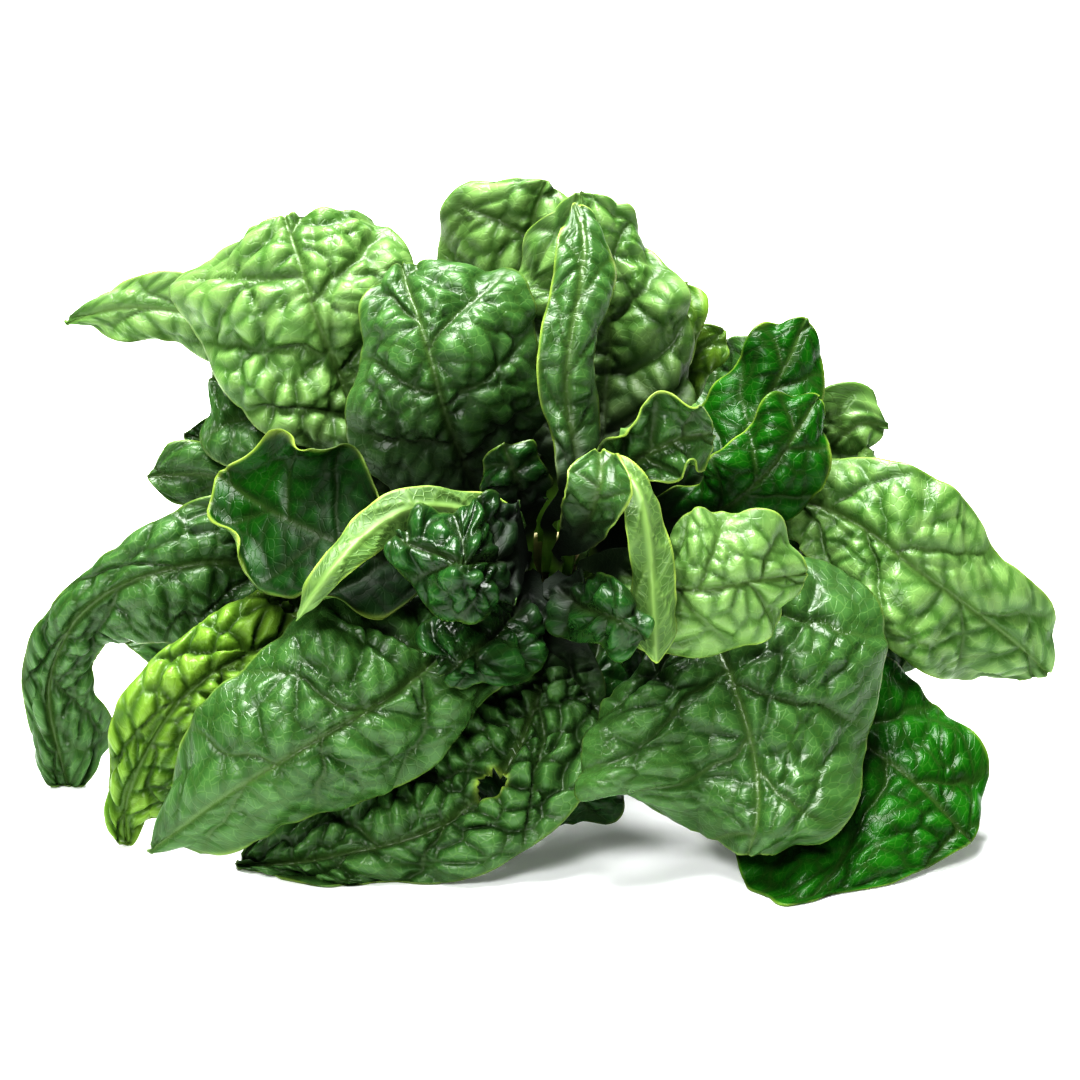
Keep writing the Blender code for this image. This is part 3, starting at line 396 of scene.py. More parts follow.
def sheet(item, along, side):
    """The leaf's upper surface as an array of points (rows along the leaf, columns across it): each row
    is a cross section set square to the path, on which the relief then stands."""
    samples, length, marks = follow(item.stations)
    heel, base = marks[item.heel_station], marks[item.heel_station + 1]
    values = np.stack([np.interp(along, length, samples[:, k]) for k in range(5)], axis=1)
    later = np.minimum(along + 0.01, 1.0)
    earlier = np.maximum(along - 0.01, 0.0)
    ahead = np.stack([np.interp(later, length, samples[:, k]) for k in range(2)], 1)
    behind = np.stack([np.interp(earlier, length, samples[:, k]) for k in range(2)], 1)
    turn = item.angles[0] + (item.angles[1] - item.angles[0]) * np.clip(along / heel, 0.0, 1.0)
    outward = np.stack([np.cos(turn), np.sin(turn)], axis=1)
    free = smooth_step((along - heel * 0.9) / (base - heel * 0.9))[:, None]
    course = (ahead - behind)
    course /= np.linalg.norm(course, axis=1)[:, None] + 1e-6
    course = course * free + outward * (1.0 - free)
    course /= np.linalg.norm(course, axis=1)[:, None]
    square = np.stack([-course[:, 1], course[:, 0]], axis=1)

    blade = (along - base) / (1.0 - base)
    opened = smooth_step(blade / 0.25 + 0.2)
    tip = np.sqrt(np.clip(1.0 - np.clip((blade - 0.86) / 0.15, 0.0, 1.0) ** 2, 0.0, 1.0))
    tip = 0.22 + 0.78 * tip

    points = np.zeros((len(along), len(side), 3))
    for sign, column, arch in ((-1.0, 3, item.arch[0]), (1.0, 4, item.arch[1])):
        bend = arch * opened + BASE_FOLD * (1.0 - opened)
        out, reach, rise = cross_section(bend, item.tilt * opened * sign)
        mine = (side < 0.0) if sign < 0.0 else (side >= 0.0)
        where = np.abs(side[mine])
        width = (values[:, column] * tip)[:, None]
        across = np.stack([np.interp(where, out, row) for row in reach]) * width
        near = np.stack([np.interp(where, out, row) for row in rise]) * width
        points[:, mine, 0] = values[:, 0, None] - sign * square[:, 0, None] * across
        points[:, mine, 1] = values[:, 1, None] - sign * square[:, 1, None] * across
        points[:, mine, 2] = values[:, 2, None] + near

    down = np.gradient(points, axis=0)
    over = np.gradient(points, axis=1)
    normal = np.cross(over, down)
    normal /= np.linalg.norm(normal, axis=2)[:, :, None] + 1e-9
    height = relief(item, np.clip(blade, 0.0, 1.0)[:, None] * np.ones_like(side),
                    side * np.ones((len(along), 1)))
    return points + normal * height[:, :, None], heel


def cells_of(points):
    """The draping grid's cell under each point, as row and column numbers."""
    column = ((points[..., 0] + REACH_ACROSS) / CELL).astype(int)
    row = ((points[..., 1] + REACH_UP) / CELL).astype(int)
    return (np.clip(row, 0, int(2 * REACH_UP / CELL) - 1),
            np.clip(column, 0, int(2 * REACH_ACROSS / CELL) - 1))


def blend(field, i, j, x, y):
    """The field's value x of the way from row i to the next and y of the way from column j to the next."""
    return ((1 - x) * (1 - y) * field[i, j] + (1 - x) * y * field[i, j + 1]
            + x * (1 - y) * field[i + 1, j] + x * y * field[i + 1, j + 1])


def refine(points, factor):
    """The same surface with more points, by straight lines between its own."""
    rows, columns = points.shape[:2]
    new_rows = np.linspace(0, rows - 1, (rows - 1) * factor + 1)[:, None]
    new_columns = np.linspace(0, columns - 1, (columns - 1) * factor + 1)[None, :]
    i = np.minimum(new_rows.astype(int), rows - 2)
    j = np.minimum(new_columns.astype(int), columns - 2)
    return blend(points, i, j, (new_rows - i)[:, :, None], (new_columns - j)[:, :, None])


def neighbours(field, mode, **fill):
    """The field moved by one cell in each of the nine ways, with how far each way moves it."""
    padded = np.pad(field, 1, mode=mode, **fill)
    height, width = field.shape
    return [(padded[r:r + height, c:c + width], math.hypot(r - 1, c - 1))
            for r in range(3) for c in range(3)]


def widen(field, rounds, drop, fill):
    """Each cell takes the highest of its neighbours' values less the drop a cell, again and again."""
    for _ in range(rounds):
        moved = neighbours(field, "constant", constant_values=fill)
        field = np.max([part - drop * far for part, far in moved], axis=0)
    return field


def soften(field, rounds):
    """Each cell takes the mean of itself and its neighbours, weighted 4, 2 and 1 by nearness, again and
    again."""
    for _ in range(rounds):
        field = sum(part * (4.0 if far == 0.0 else 2.0 if far == 1.0 else 1.0)
                    for part, far in neighbours(field, "edge")) / 16.0
    return field


def master_grid():
    """Evenly spaced places along and across a leaf, on which draping and the solids are worked out."""
    return np.linspace(0.0, 1.0, MASTER_ROWS), np.linspace(-1.0, 1.0, MASTER_COLUMNS)


def drape_all():
    """Lays the leaves on each other from the back of the bunch to the front. Where a leaf would come
    closer than the gap to those behind it, it is lifted, and the lift eases off at the drape slope."""
    shape = (int(2 * REACH_UP / CELL), int(2 * REACH_ACROSS / CELL))
    nothing = -1000.0
    pile = np.full(shape, nothing)
    along, side = master_grid()
    for ring in reversed(RINGS):
        for item in ring:
            points, heel = sheet(item, along, side)
            open_part = refine(points[along >= heel], 3)
            row, column = cells_of(open_part)
            lowest = np.full(shape, -nothing)
            np.minimum.at(lowest, (row, column), open_part[..., 2])
            under = widen(pile, 1, 0.0, nothing)
            need = np.where(lowest < -nothing, under + GAP - lowest, 0.0)
            need = widen(np.maximum(need, 0.0), 3, 0.0, 0.0)
            drop = DRAPE_SLOPE * CELL
            item.lift = soften(widen(need, int(need.max() / drop) + 1, drop, 0.0), 4)
            np.maximum.at(pile, (row, column), open_part[..., 2] + item.lift[row, column])


def lift_at(field, points):
    """The lift at each point, smoothly between the cells' middles."""
    x = np.clip((points[..., 0] + REACH_ACROSS) / CELL - 0.5, 0.0, field.shape[1] - 1.001)
    y = np.clip((points[..., 1] + REACH_UP) / CELL - 0.5, 0.0, field.shape[0] - 1.001)
    i = y.astype(int)
    j = x.astype(int)
    return blend(field, i, j, y - i, x - j)


def draped(item, along, side):
    """The leaf's surface with its lift, which fades out down the petiole."""
    points, heel = sheet(item, along, side)
    share = smooth_step(along / heel)[:, None]
    points[..., 2] += share * lift_at(item.lift, points)
    return points


def bowed(points, along, side, base):
    """Rounds the leaf's end. Each point is taken from further back along its column, by the square of its
    side and more so towards the tip, so the last row becomes an arc."""
    near_tip = smooth_step((along - base) / (1.0 - base) * 1.6 - 0.6)
    wanted = along[:, None] - TIP_BOW * (1.0 - base) * near_tip[:, None] * side[None, :] ** 2
    i = np.clip(np.searchsorted(along, wanted, side="right") - 1, 0, len(along) - 2)
    share = ((wanted - along[i]) / (along[i + 1] - along[i]))[:, :, None]
    column = np.arange(len(side))[None, :]
    return points[i, column] * (1.0 - share) + points[i + 1, column] * share


def stand(points):
    """From the bunch's own frame to the world, in metres."""
    across, up, near = points[..., 0], points[..., 1], points[..., 2]
    taper = 1.0 - near / TAPER_LENGTH
    y = up * taper * math.sin(LEAN) - near * math.cos(LEAN)
    z = up * taper * math.cos(LEAN) + near * math.sin(LEAN)
    return (np.stack([across * taper, y, z], axis=-1) + SET_DOWN) * MM


def ripple(x, y, size, seed):
    """Smooth noise from -1 to 1: random heights on a square lattice of the given size, blended between
    lattice points by S-shaped steps in both directions."""
    heights = np.random.default_rng(seed).uniform(-1.0, 1.0, (64, 64))
    x = x / size
    y = y / size
    i = np.floor(x).astype(int)
    j = np.floor(y).astype(int)
    s = smooth_step(x - i)
    t = smooth_step(y - j)
    low = heights[i % 64, j % 64] * (1 - s) + heights[(i + 1) % 64, j % 64] * s
    high = heights[i % 64, (j + 1) % 64] * (1 - s) + heights[(i + 1) % 64, (j + 1) % 64] * s
    return low * (1 - t) + high * t


def border_distance(x, y, size, seed):
    """Distance to the nearest border between cells. The cells belong to the points of a jittered lattice.
    The border between the two nearest, at distances a and b, is (b*b - a*a) / (2 * their spacing) away."""
    jitter = np.random.default_rng(seed).uniform(0.08, 0.92, (64, 64, 2))
    i = np.floor(x / size).astype(int)
    j = np.floor(y / size).astype(int)
    places = []
    for over in (-1, 0, 1):
        for down in (-1, 0, 1):
            move = jitter[(i + over) % 64, (j + down) % 64]
            places.append(np.stack([(i + over + move[..., 0]) * size, (j + down + move[..., 1]) * size]))
    places = np.stack(places)
    squares = (places[:, 0] - x) ** 2 + (places[:, 1] - y) ** 2
    order = np.argsort(squares, axis=0)[:2]
    nearest, second = np.take_along_axis(squares, order, axis=0)
    first_place, second_place = np.take_along_axis(places, order[:, None], axis=0)
    spacing = np.hypot(*(second_place - first_place))
    return (second - nearest) / (2.0 * spacing + 1e-9)


def dome(distance, reach):
    """A pillow's profile: 0 on the crease, rising steeply and then flattening to 1 at the reach."""
    return 1.0 - (1.0 - np.clip(distance / reach, 0.0, 1.0)) ** 2


def bell(distance, width):
    """1 at no distance, falling off as a bell of the given half width."""
    return np.exp(-(distance / width) ** 2)


def veined(item, blade, out, side, u, v, sizes):
    """The fine relief of a blade, its veins, and two masks for painted shade: the domes, dark in their
    creases, and the relief's height, dark in its hollows. Side veins are where a phase, which grows along
    the leaf and falls towards the margin, passes a whole number; smaller veins are the borders of cells.
    Between the veins the tissue is domed, and the veins themselves lie in grooves."""
    seed = item.seed
    cell = sizes.cell / MM
    wander = 0.16 * ripple(u, v, 17.0, seed) + 0.06 * ripple(u, v, 6.0, seed + 1)
    phase = item.pairs * (blade - 0.22 * out) + np.where(side < 0.0, 0.0, 0.35) + wander
    run = u.max() / item.pairs * 0.8
    from_side_vein = np.abs(phase - np.rint(phase)) * run
    from_midrib = np.abs(v)
    x = u + 1.8 * ripple(u, v, 13.0, seed + 2) + 0.35 * from_midrib
    y = v + 1.8 * ripple(u, v, 13.0, seed + 3)
    from_lump = border_distance(x, y, cell * 2.0, seed + 8)
    from_small_vein = border_distance(x, y, cell, seed + 4)
    from_net = border_distance(x, y, cell * 0.42, seed + 5)
    ribs = np.minimum(from_side_vein, from_midrib)
    creases = np.minimum(ribs, from_small_vein)

    body = smooth_step(blade / 0.1)
    calm = 1.0 - 0.85 * smooth_step((out - item.calm) / (1.0 - item.calm))
    calm *= 1.0 - item.quiet_tip * smooth_step((blade - 0.35) / 0.4)
    strength = np.clip(0.8 + 0.7 * ripple(u, v, 26.0, seed + 6), 0.15, 1.5)
    pillow = dome(creases, cell * 0.42)
    height = item.blister * sizes.blister / MM * strength * (pillow - 0.62)
    height += item.lump * (dome(np.minimum(ribs, from_lump), cell * 0.75) - 0.6)
    height += item.blister * 0.12 * (dome(from_net, cell * 0.19) - 0.6)
    height -= 0.9 * bell(from_midrib, 1.2) * (1.0 - 0.7 * blade)
    height -= 0.6 * bell(from_side_vein, 0.8) * (1.0 - out)
    wave = np.sin(u / 2.6 + 3.0 * ripple(u, v, 15.0, seed + 7)) * smooth_step((out - 0.7) / 0.3) ** 2
    height = body * (height * calm + item.frill * wave)

    veins = np.maximum(bell(from_midrib, 0.7 + 0.7 * (1.0 - blade)),
                       0.85 * bell(from_side_vein, 0.65) * (1.0 - 0.45 * out))
    veins = np.maximum(veins, 0.4 * bell(from_small_vein, 0.5))
    return height, np.clip(veins, 0.0, 1.0) * body, pillow * body, np.clip(height / 2.0, -1.0, 1.0)


def leaf_surfaces(item, sizes):
    """The near and the far surface of a leaf on one grid, in metres, with its coordinates and finish
    values. The far surface is the near one less the thickness along the smooth blade's normal."""
    samples, length, marks = follow(item.stations)
    heel, base = marks[item.heel_station], marks[item.heel_station + 1]
    steps = np.linalg.norm(np.diff(samples[:, :3], axis=0), axis=1)
    total = steps.sum()
    step = sizes.grid / MM
    petiole_rows = int(base * total / PETIOLE_STEP)
    blade_rows = int((1.0 - base) * total / step)
    along = np.concatenate([np.linspace(0.0, base, petiole_rows, endpoint=False),
                            np.linspace(base, 1.0, blade_rows)])
    widest = (item.rows[:, 3] + item.rows[:, 4]).max()
    columns = 2 * int(widest / step / 2.0) + 1
    side = np.linspace(-1.0, 1.0, max(columns, 13))
    smooth = draped(item, along, side)
    smooth = bowed(smooth, along, side, base)
    down = np.gradient(smooth, axis=0)
    over = np.gradient(smooth, axis=1)
    normal = np.cross(over, down)
    normal /= np.linalg.norm(normal, axis=2)[:, :, None] + 1e-9

    blade = np.clip((along - base) / (1.0 - base), 0.0, 1.0)[:, None] * np.ones_like(side)
    out = np.abs(side)[None, :] * np.ones_like(blade)
    half = np.where(side < 0.0, np.interp(along, length, samples[:, 3])[:, None],
                    np.interp(along, length, samples[:, 4])[:, None])
    u = (along[:, None] - base) * total * np.ones_like(side)
    v = side[None, :] * half
    height, veins, pillow, depth = veined(item, blade, out, side[None, :], u, v, sizes)
    if item.flipped:
        height = -height
    stalk = 1.0 - smooth_step(blade / 0.2 + 0.5)
    thick = BLADE_THICK * (1.0 - 0.45 * out ** 8) + 0.9 * bell(v, 1.4) * (1.0 - blade)
    thick = stalk * PETIOLE_THICK * np.sqrt(1.0 - 0.85 * out ** 2) + (1.0 - stalk) * thick
    near = stand(smooth + normal * height[:, :, None])
    far = stand(smooth + normal * (height - thick)[:, :, None])
    near[..., 2] = np.maximum(near[..., 2], NEAR_CLEARANCE * MM)
    far[..., 2] = np.maximum(far[..., 2], FAR_CLEARANCE * MM)
    to_margin = np.minimum((1.0 - out) * half, (1.0 - along[:, None]) * total)
    uneven = np.clip(0.75 + 0.7 * ripple(u, v, 9.0, item.seed + 9), 0.1, 1.0)
    # The relief's clipped height goes along as the mask of the painted shade in its hollows.
    values = {"vein": veins, "pillow": pillow, "depth": depth,
              # Painted shade, darkest at the heel and gone at the given share of the blade.
              "gloom": 1.0 - smooth_step(blade / item.gloom),
              # Painted highlight along the margins, uneven in strength.
              "rim": item.rim * bell(to_margin, item.rim_width) * smooth_step(blade / 0.1) * uneven,
              "stalk": np.ones_like(out) * (1.0 - smooth_step((along / heel - 0.45) / 0.4))[:, None]}
    kept = np.ones((len(along) - 1, len(side) - 1), bool)
    for middle_u, middle_v, reach_u, reach_v in item.holes:
        inside = ((u - middle_u) / reach_u) ** 2 + ((v - middle_v) / reach_v) ** 2
        corner = inside < 1.0
        kept &= ~(corner[1:, 1:] | corner[:-1, 1:] | corner[1:, :-1] | corner[:-1, :-1])
        from_hole = (np.sqrt(inside) - 1.0) * min(reach_u, reach_v)
        # A painted highlight round the edge of each hole as well.
        values["rim"] = np.maximum(values["rim"], bell(from_hole, 0.9))
    return near, far, kept, np.stack([u, v], axis=-1) * MM, values


def closed_faces(kept):
    """Quads of a closed sheet: the near side, the far side turned over, and a wall wherever a kept cell of
    the grid borders one that isn't kept or the grid's edge."""
    rows, columns = kept.shape[0] + 1, kept.shape[1] + 1
    near = np.arange(rows * columns).reshape(rows, columns)
    far = near + rows * columns
    a, b, c, d = near[:-1, :-1], near[:-1, 1:], near[1:, 1:], near[1:, :-1]
    e, f, g, h = far[:-1, :-1], far[:-1, 1:], far[1:, 1:], far[1:, :-1]
    ring = np.pad(kept, 1)
    walls = [((b, a, e, f), kept & ~ring[:-2, 1:-1]), ((d, c, g, h), kept & ~ring[2:, 1:-1]),
             ((a, d, h, e), kept & ~ring[1:-1, :-2]), ((c, b, f, g), kept & ~ring[1:-1, 2:])]
    quads = [np.stack([a, b, c, d], -1)[kept], np.stack([e, h, g, f], -1)[kept]]
    quads += [np.stack(corners, -1)[where] for corners, where in walls]
    side = np.concatenate([np.full(len(part), int(number == 1)) for number, part in enumerate(quads)])
    return np.concatenate(quads), side


def sheet_mesh(name, near, far, kept, coordinates, values, materials):
    """Puts the two surfaces and their walls into a mesh, with the coordinates as a UV map and each value as
    an attribute. The first material is the near side's and the second the far side's."""
    quads, side = closed_faces(kept)
    used, quads = np.unique(quads, return_inverse=True)
    quads = quads.reshape(-1, 4)
    points = np.concatenate([near.reshape(-1, 3), far.reshape(-1, 3)])[used]
    mesh = bpy.data.meshes.new(name)
    mesh.vertices.add(len(points))
    mesh.vertices.foreach_set("co", points.astype(np.float32).ravel())
    mesh.loops.add(quads.size)
    mesh.loops.foreach_set("vertex_index", quads.astype(np.int32).ravel())
    mesh.polygons.add(len(quads))
    mesh.polygons.foreach_set("loop_start", np.arange(0, quads.size, 4, dtype=np.int32))
    mesh.update(calc_edges=True)
    for material in materials:
        mesh.materials.append(material)
    mesh.polygons.foreach_set("material_index", side.astype(np.int32))
    mesh.shade_smooth()
    flat = np.concatenate([coordinates.reshape(-1, 2)] * 2)[used]
    layer = mesh.uv_layers.new(name="blade")
    layer.uv.foreach_set("vector", flat[quads.ravel()].astype(np.float32).ravel())
    for key, value in values.items():
        attribute = mesh.attributes.new(key, "FLOAT", "POINT")
        attribute.data.foreach_set("value", np.concatenate([value.ravel()] * 2)[used].astype(np.float32))
    mesh.update()
    mesh.validate()
    return mesh


class Nodes:
    """A material's node tree. add() makes a node, sets its values and links the inputs that are sockets."""

    def __init__(self, name):
        self.material = bpy.data.materials.new(name)
        self.material.use_nodes = True
        self.tree = self.material.node_tree
        self.shader = self.tree.nodes["Principled BSDF"]

    def feed(self, node, inputs):
        for key, value in inputs.items():
            if isinstance(value, bpy.types.NodeSocket):
                self.tree.links.new(value, node.inputs[key])
            else:
                node.inputs[key].default_value = value

    def add(self, kind, inputs=None, **settings):
        node = self.tree.nodes.new("ShaderNode" + kind)
        for key, value in settings.items():
            setattr(node, key, value)
        self.feed(node, inputs or {})
        return node

    def value(self, name):
        return self.add("Attribute", attribute_name=name).outputs["Fac"]

    def mix(self, factor, first, second, blend="MIX"):
        node = self.add("Mix", {0: factor, 6: first, 7: second}, data_type="RGBA", blend_type=blend)
        return node.outputs[2]

    def math(self, operation, first, second=0.0):
        return self.add("Math", {0: first, 1: second}, operation=operation).outputs[0]

    def between(self, value, low, high, to_low, to_high):
        node = self.add("MapRange", {"Value": value, "From Min": low, "From Max": high, "To Min": to_low,
                                     "To Max": to_high})
        return node.outputs[0]

    def noise(self, place, scale, detail=2.0):
        return self.add("TexNoise", {"Vector": place, "Scale": scale, "Detail": detail}).outputs["Fac"]

    def net(self, place, edge):
        """1 on the borders of small cells, fading to 0 at the edge distance."""
        cells = self.add("TexVoronoi", {"Vector": place, "Scale": NET_SCALE}, feature="DISTANCE_TO_EDGE",
                         voronoi_dimensions="2D")
        return self.between(cells.outputs["Distance"], 0.02, edge, 1.0, 0.0)


def colour(rgb):
    """The colour with full alpha."""
    return (*rgb, 1.0)


def leaf_material(name, deep, bright, colours, pale_veins, rough, mirror):
    """The upper side of a leaf: patches of deep and bright green, with painted shade in the creases between
    the blisters and the bright green on their tops, pale veins, a painted highlight along the rim, and a
    fine net of veins that also dents the surface. Painted shade darkens the hollows of the relief and the
    blade near its heel, where the leaf is also rougher. The mirror value is the specular level."""
    n = Nodes(name)
    place = n.add("TexCoord").outputs["Object"]
    blade = n.add("UVMap", uv_map="blade").outputs[0]
    patches = n.noise(place, 26.0, 3.0)
    speckle = n.noise(place, 420.0, 2.0)
    pillow = n.value("pillow")
    # Painted shade in the creases: the deep green gathers where the domes fall to their creases and the
    # bright green on the blister tops, mixed with random patches.
    share = n.math("ADD", n.math("MULTIPLY", patches, 0.9), n.math("MULTIPLY", pillow, 0.6))
    share = n.between(share, 0.45, 1.05, 0.0, 1.0)
    tone = n.mix(share, colour(deep), colour(bright))
    warp = n.add("TexNoise", {"Vector": blade, "Scale": 240.0, "Detail": 1.0}).outputs["Color"]
    bent = n.add("Mix", {0: 0.0016, 4: blade, 5: warp}, data_type="VECTOR").outputs[1]
    line = n.net(bent, 0.11)
    veins = n.math("MAXIMUM", n.value("vein"), n.math("MULTIPLY", line, 0.3))
    tone = n.mix(n.math("MULTIPLY", veins, pale_veins), tone, colour(colours.vein))
    # Painted highlight: a pale band along the margins, where they catch the light.
    tone = n.mix(n.value("rim"), tone, colour(colours.rim))
    # Painted shade: darker in the hollows of the relief and a little lighter on its tops, and darker towards
    # the heel by the heel shade.
    shade = n.math("MULTIPLY", n.between(n.value("depth"), -0.9, 0.5, 0.62, 1.08),
                   n.between(n.value("gloom"), 0.0, 1.0, 1.0, 0.16))
    tone = n.mix(1.0, tone, n.add("CombineColor", {0: shade, 1: shade, 2: shade}).outputs[0], "MULTIPLY")
    tone = n.mix(n.value("stalk"), tone, colour(colours.stalk))
    height = n.math("ADD", n.math("MULTIPLY", line, -0.55), n.math("MULTIPLY", speckle, 0.25))
    bump = n.add("Bump", {"Strength": 0.3, "Distance": 0.0004, "Height": height})
    gloss = n.between(n.noise(place, 60.0, 2.0), 0.3, 0.7, rough - 0.06, rough + 0.1)
    gloss = n.math("ADD", gloss, n.between(n.value("gloom"), 0.45, 1.0, 0.0, 0.4))
    n.feed(n.shader, {"Base Color": tone, "Roughness": gloss, "Normal": bump.outputs[0], "Metallic": 0.0,
                      "IOR": 1.47, "Specular IOR Level": mirror})
    n.material.diffuse_color = colour(bright)
    return n.material


def under_material(name, base, colours):
    """The underside: paler and matt, with the veins a little raised and lighter."""
    n = Nodes(name)
    place = n.add("TexCoord").outputs["Object"]
    blade = n.add("UVMap", uv_map="blade").outputs[0]
    patches = n.between(n.noise(place, 30.0, 3.0), 0.3, 0.7, 0.0, 1.0)
    darker = tuple(0.72 * part for part in base)
    tone = n.mix(patches, colour(darker), colour(base))
    line = n.net(blade, 0.12)
    veins = n.math("MAXIMUM", n.value("vein"), n.math("MULTIPLY", line, 0.35))
    tone = n.mix(n.math("MULTIPLY", veins, 0.5), tone, colour(colours.vein))
    # Painted highlight: a pale band along the margins, where they catch the light.
    tone = n.mix(n.value("rim"), tone, colour(colours.rim))
    tone = n.mix(n.value("stalk"), tone, colour(colours.stalk))
    bump = n.add("Bump", {"Strength": 0.6, "Distance": 0.0005, "Height": veins})
    gloss = n.between(n.noise(place, 80.0, 2.0), 0.3, 0.7, 0.42, 0.56)
    n.feed(n.shader, {"Base Color": tone, "Roughness": gloss, "Normal": bump.outputs[0], "Metallic": 0.0,
                      "IOR": 1.45, "Specular IOR Level": 0.4})
    n.material.diffuse_color = colour(base)
    return n.material


def crown_mesh(material):
    """A turned stub: radius against height from the profile, with evenly spaced ribs round it and a wrinkled
    skin. It is flattened underneath where it lies on the surface."""
    profile = np.array([(0.0, -0.4)] + CROWN_PROFILE + [(0.0, CROWN_PROFILE[-1][1])])
    run = np.concatenate([[0.0], np.cumsum(np.hypot(*np.diff(profile, axis=0).T))])
    t = np.linspace(0.0, run[-1], CROWN_ROWS)
    radius = np.interp(t, run, profile[:, 0])[:, None]
    height = np.interp(t, run, profile[:, 1])[:, None]
    turn = np.linspace(0.0, 2.0 * math.pi, CROWN_COLUMNS + 1)[None, :-1]
    ribs = 0.35 * np.cos(CROWN_RIBS * turn + 0.5 * np.sin(3.0 * turn))
    rough = 0.25 * ripple(turn * 12.0, height + 60.0, 2.6, 901)
    rough = rough + 0.2 * np.sin(height * 2.4 + 2.0 * np.sin(turn * 2.0))
    inside = 1.0 - 0.02 * smooth_step(radius / 3.0)
    radius = radius * inside + (ribs + rough - 0.6) * smooth_step(radius / 12.0)
    across = CROWN_MIDDLE[0] + radius * np.cos(turn)
    up = CROWN_MIDDLE[1] + radius * np.sin(turn)
    near = CROWN_NEAR + height * np.ones_like(turn)
    points = stand(np.stack([across, up, near], axis=-1))
    points[..., 2] = np.maximum(points[..., 2], 0.0)
    rows, columns = points.shape[:2]
    grid = np.arange(rows * columns).reshape(rows, columns)
    after = np.roll(grid, -1, axis=1)
    quads = np.stack([grid[:-1], grid[1:], after[1:], after[:-1]], -1).reshape(-1, 4)
    mesh = bpy.data.meshes.new("crown_skin")
    mesh.from_pydata(points.reshape(-1, 3).tolist(), [], quads.tolist())
    tidy = bmesh.new()
    tidy.from_mesh(mesh)
    bmesh.ops.remove_doubles(tidy, verts=tidy.verts[:], dist=MERGE)
    bmesh.ops.recalc_face_normals(tidy, faces=tidy.faces[:])
    tidy.to_mesh(mesh)
    tidy.free()
    mesh.materials.append(material)
    mesh.shade_smooth()
    return mesh


def crown_material(colours):
    """The crown's dry skin: pale and brown patches, with a fine rough bump."""
    n = Nodes("crown_skin")
    place = n.add("TexCoord").outputs["Object"]
    patches = n.between(n.noise(place, 90.0, 4.0), 0.35, 0.65, 0.0, 1.0)
    pale = colour(colours.crown)
    brown = colour(tuple(0.5 * part for part in colours.crown))
    tone = n.mix(patches, pale, brown)
    bump = n.add("Bump", {"Strength": 0.6, "Distance": 0.0006, "Height": n.noise(place, 600.0, 3.0)})
    n.feed(n.shader, {"Base Color": tone, "Roughness": 0.65, "Normal": bump.outputs[0], "Metallic": 0.0})
    return n.material


class LeafSizes(bpy.types.PropertyGroup):
    """Sizes of the fine blades."""
    grid: FloatProperty(name="Grid step", description="Distance between grid lines on a blade",
                        default=0.0008, unit="LENGTH")
    cell: FloatProperty(name="Blister width", description="Mean width of the blisters between small veins",
                        default=0.0082, unit="LENGTH")
    blister: FloatProperty(name="Blister height", description="How high a blister stands over its veins",
                           default=0.0014, unit="LENGTH")


class LeafColours(bpy.types.PropertyGroup):
    """Colours of leaves, veins, painted rim highlights, petioles and crown."""
    vein: FloatVectorProperty(name="Veins", description="Colour of the veins in lit leaves",
                              subtype="COLOR", default=(0.32, 0.50, 0.14))
    # The colour of the painted highlight along the margins.
    rim: FloatVectorProperty(name="Rims", description="Colour of the thin pale margins", subtype="COLOR",
                             default=(0.42, 0.58, 0.10))
    stalk: FloatVectorProperty(name="Petioles", description="Colour of the petioles", subtype="COLOR",
                               default=(0.30, 0.46, 0.12))
    crown: FloatVectorProperty(name="Crown", description="Colour of the crown's skin", subtype="COLOR",
                               default=(0.30, 0.26, 0.13))


class StudioSettings(bpy.types.PropertyGroup):
    """Camera and light."""
    distance: FloatProperty(name="Camera distance", description="From the camera to the bunch's face",
                            default=1.08, unit="LENGTH")
    elevation: FloatProperty(name="Camera height angle", description="How far the camera looks down",
                             default=LEAN, subtype="ANGLE")
    lens: FloatProperty(name="Focal length", description="Of the camera, in millimetres", default=120.0)
    key: FloatProperty(name="Key light", description="Power of the large light overhead", default=27.0,
                       subtype="POWER")


def leaf_materials(tone, colours):
    """The upper and the underside material of a tone, made once and then shared."""
    upper = bpy.data.materials.get("upper_side_" + tone)
    under = bpy.data.materials.get("underside_" + tone)
    if upper is None:
        deep, bright, pale_veins, rough, mirror, back = FINISHES[tone]
        upper = leaf_material("upper_side_" + tone, deep, bright, colours, pale_veins, rough, mirror)
        under = under_material("underside_" + tone, back, colours)
    return upper, under


def add_piece(context, mesh, node, slot):
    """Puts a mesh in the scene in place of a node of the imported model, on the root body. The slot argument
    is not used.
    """
    piece = bpy.data.objects.new(mesh.name, mesh)
    context.scene.collection.objects.link(piece)
    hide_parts(node)
    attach(piece, "root")
    return piece


class RingStep:
    """Makes the fine leaves of one ring, each in place of its node."""
    ring = 0

    def execute(self, context):
        if RINGS[self.ring][0].lift is None:
            raise RuntimeError("lay the leaves on each other first")
        sizes = context.scene.spinach_sizes
        colours = context.scene.spinach_colours
        for item in RINGS[self.ring]:
            near, far, kept, coordinates, values = leaf_surfaces(item, sizes)
            upper, under = leaf_materials(item.finish or item.tone, colours)
            materials = (under, upper) if item.flipped else (upper, under)
            mesh = sheet_mesh(item.name + "_fine", near, far, kept, coordinates, values, materials)
            add_piece(context, mesh, item.name, "leaf_" + item.tone)
        return {"FINISHED"}


class SPINACH_OT_lay_leaves(bpy.types.Operator):
    """Seats the petioles on the crown and lays the leaves on each other"""
    bl_idname = "spinach.lay_leaves"
    bl_label = "Lay the Leaves"

    def execute(self, context):
        place_petioles()
        drape_all()
        return {"FINISHED"}


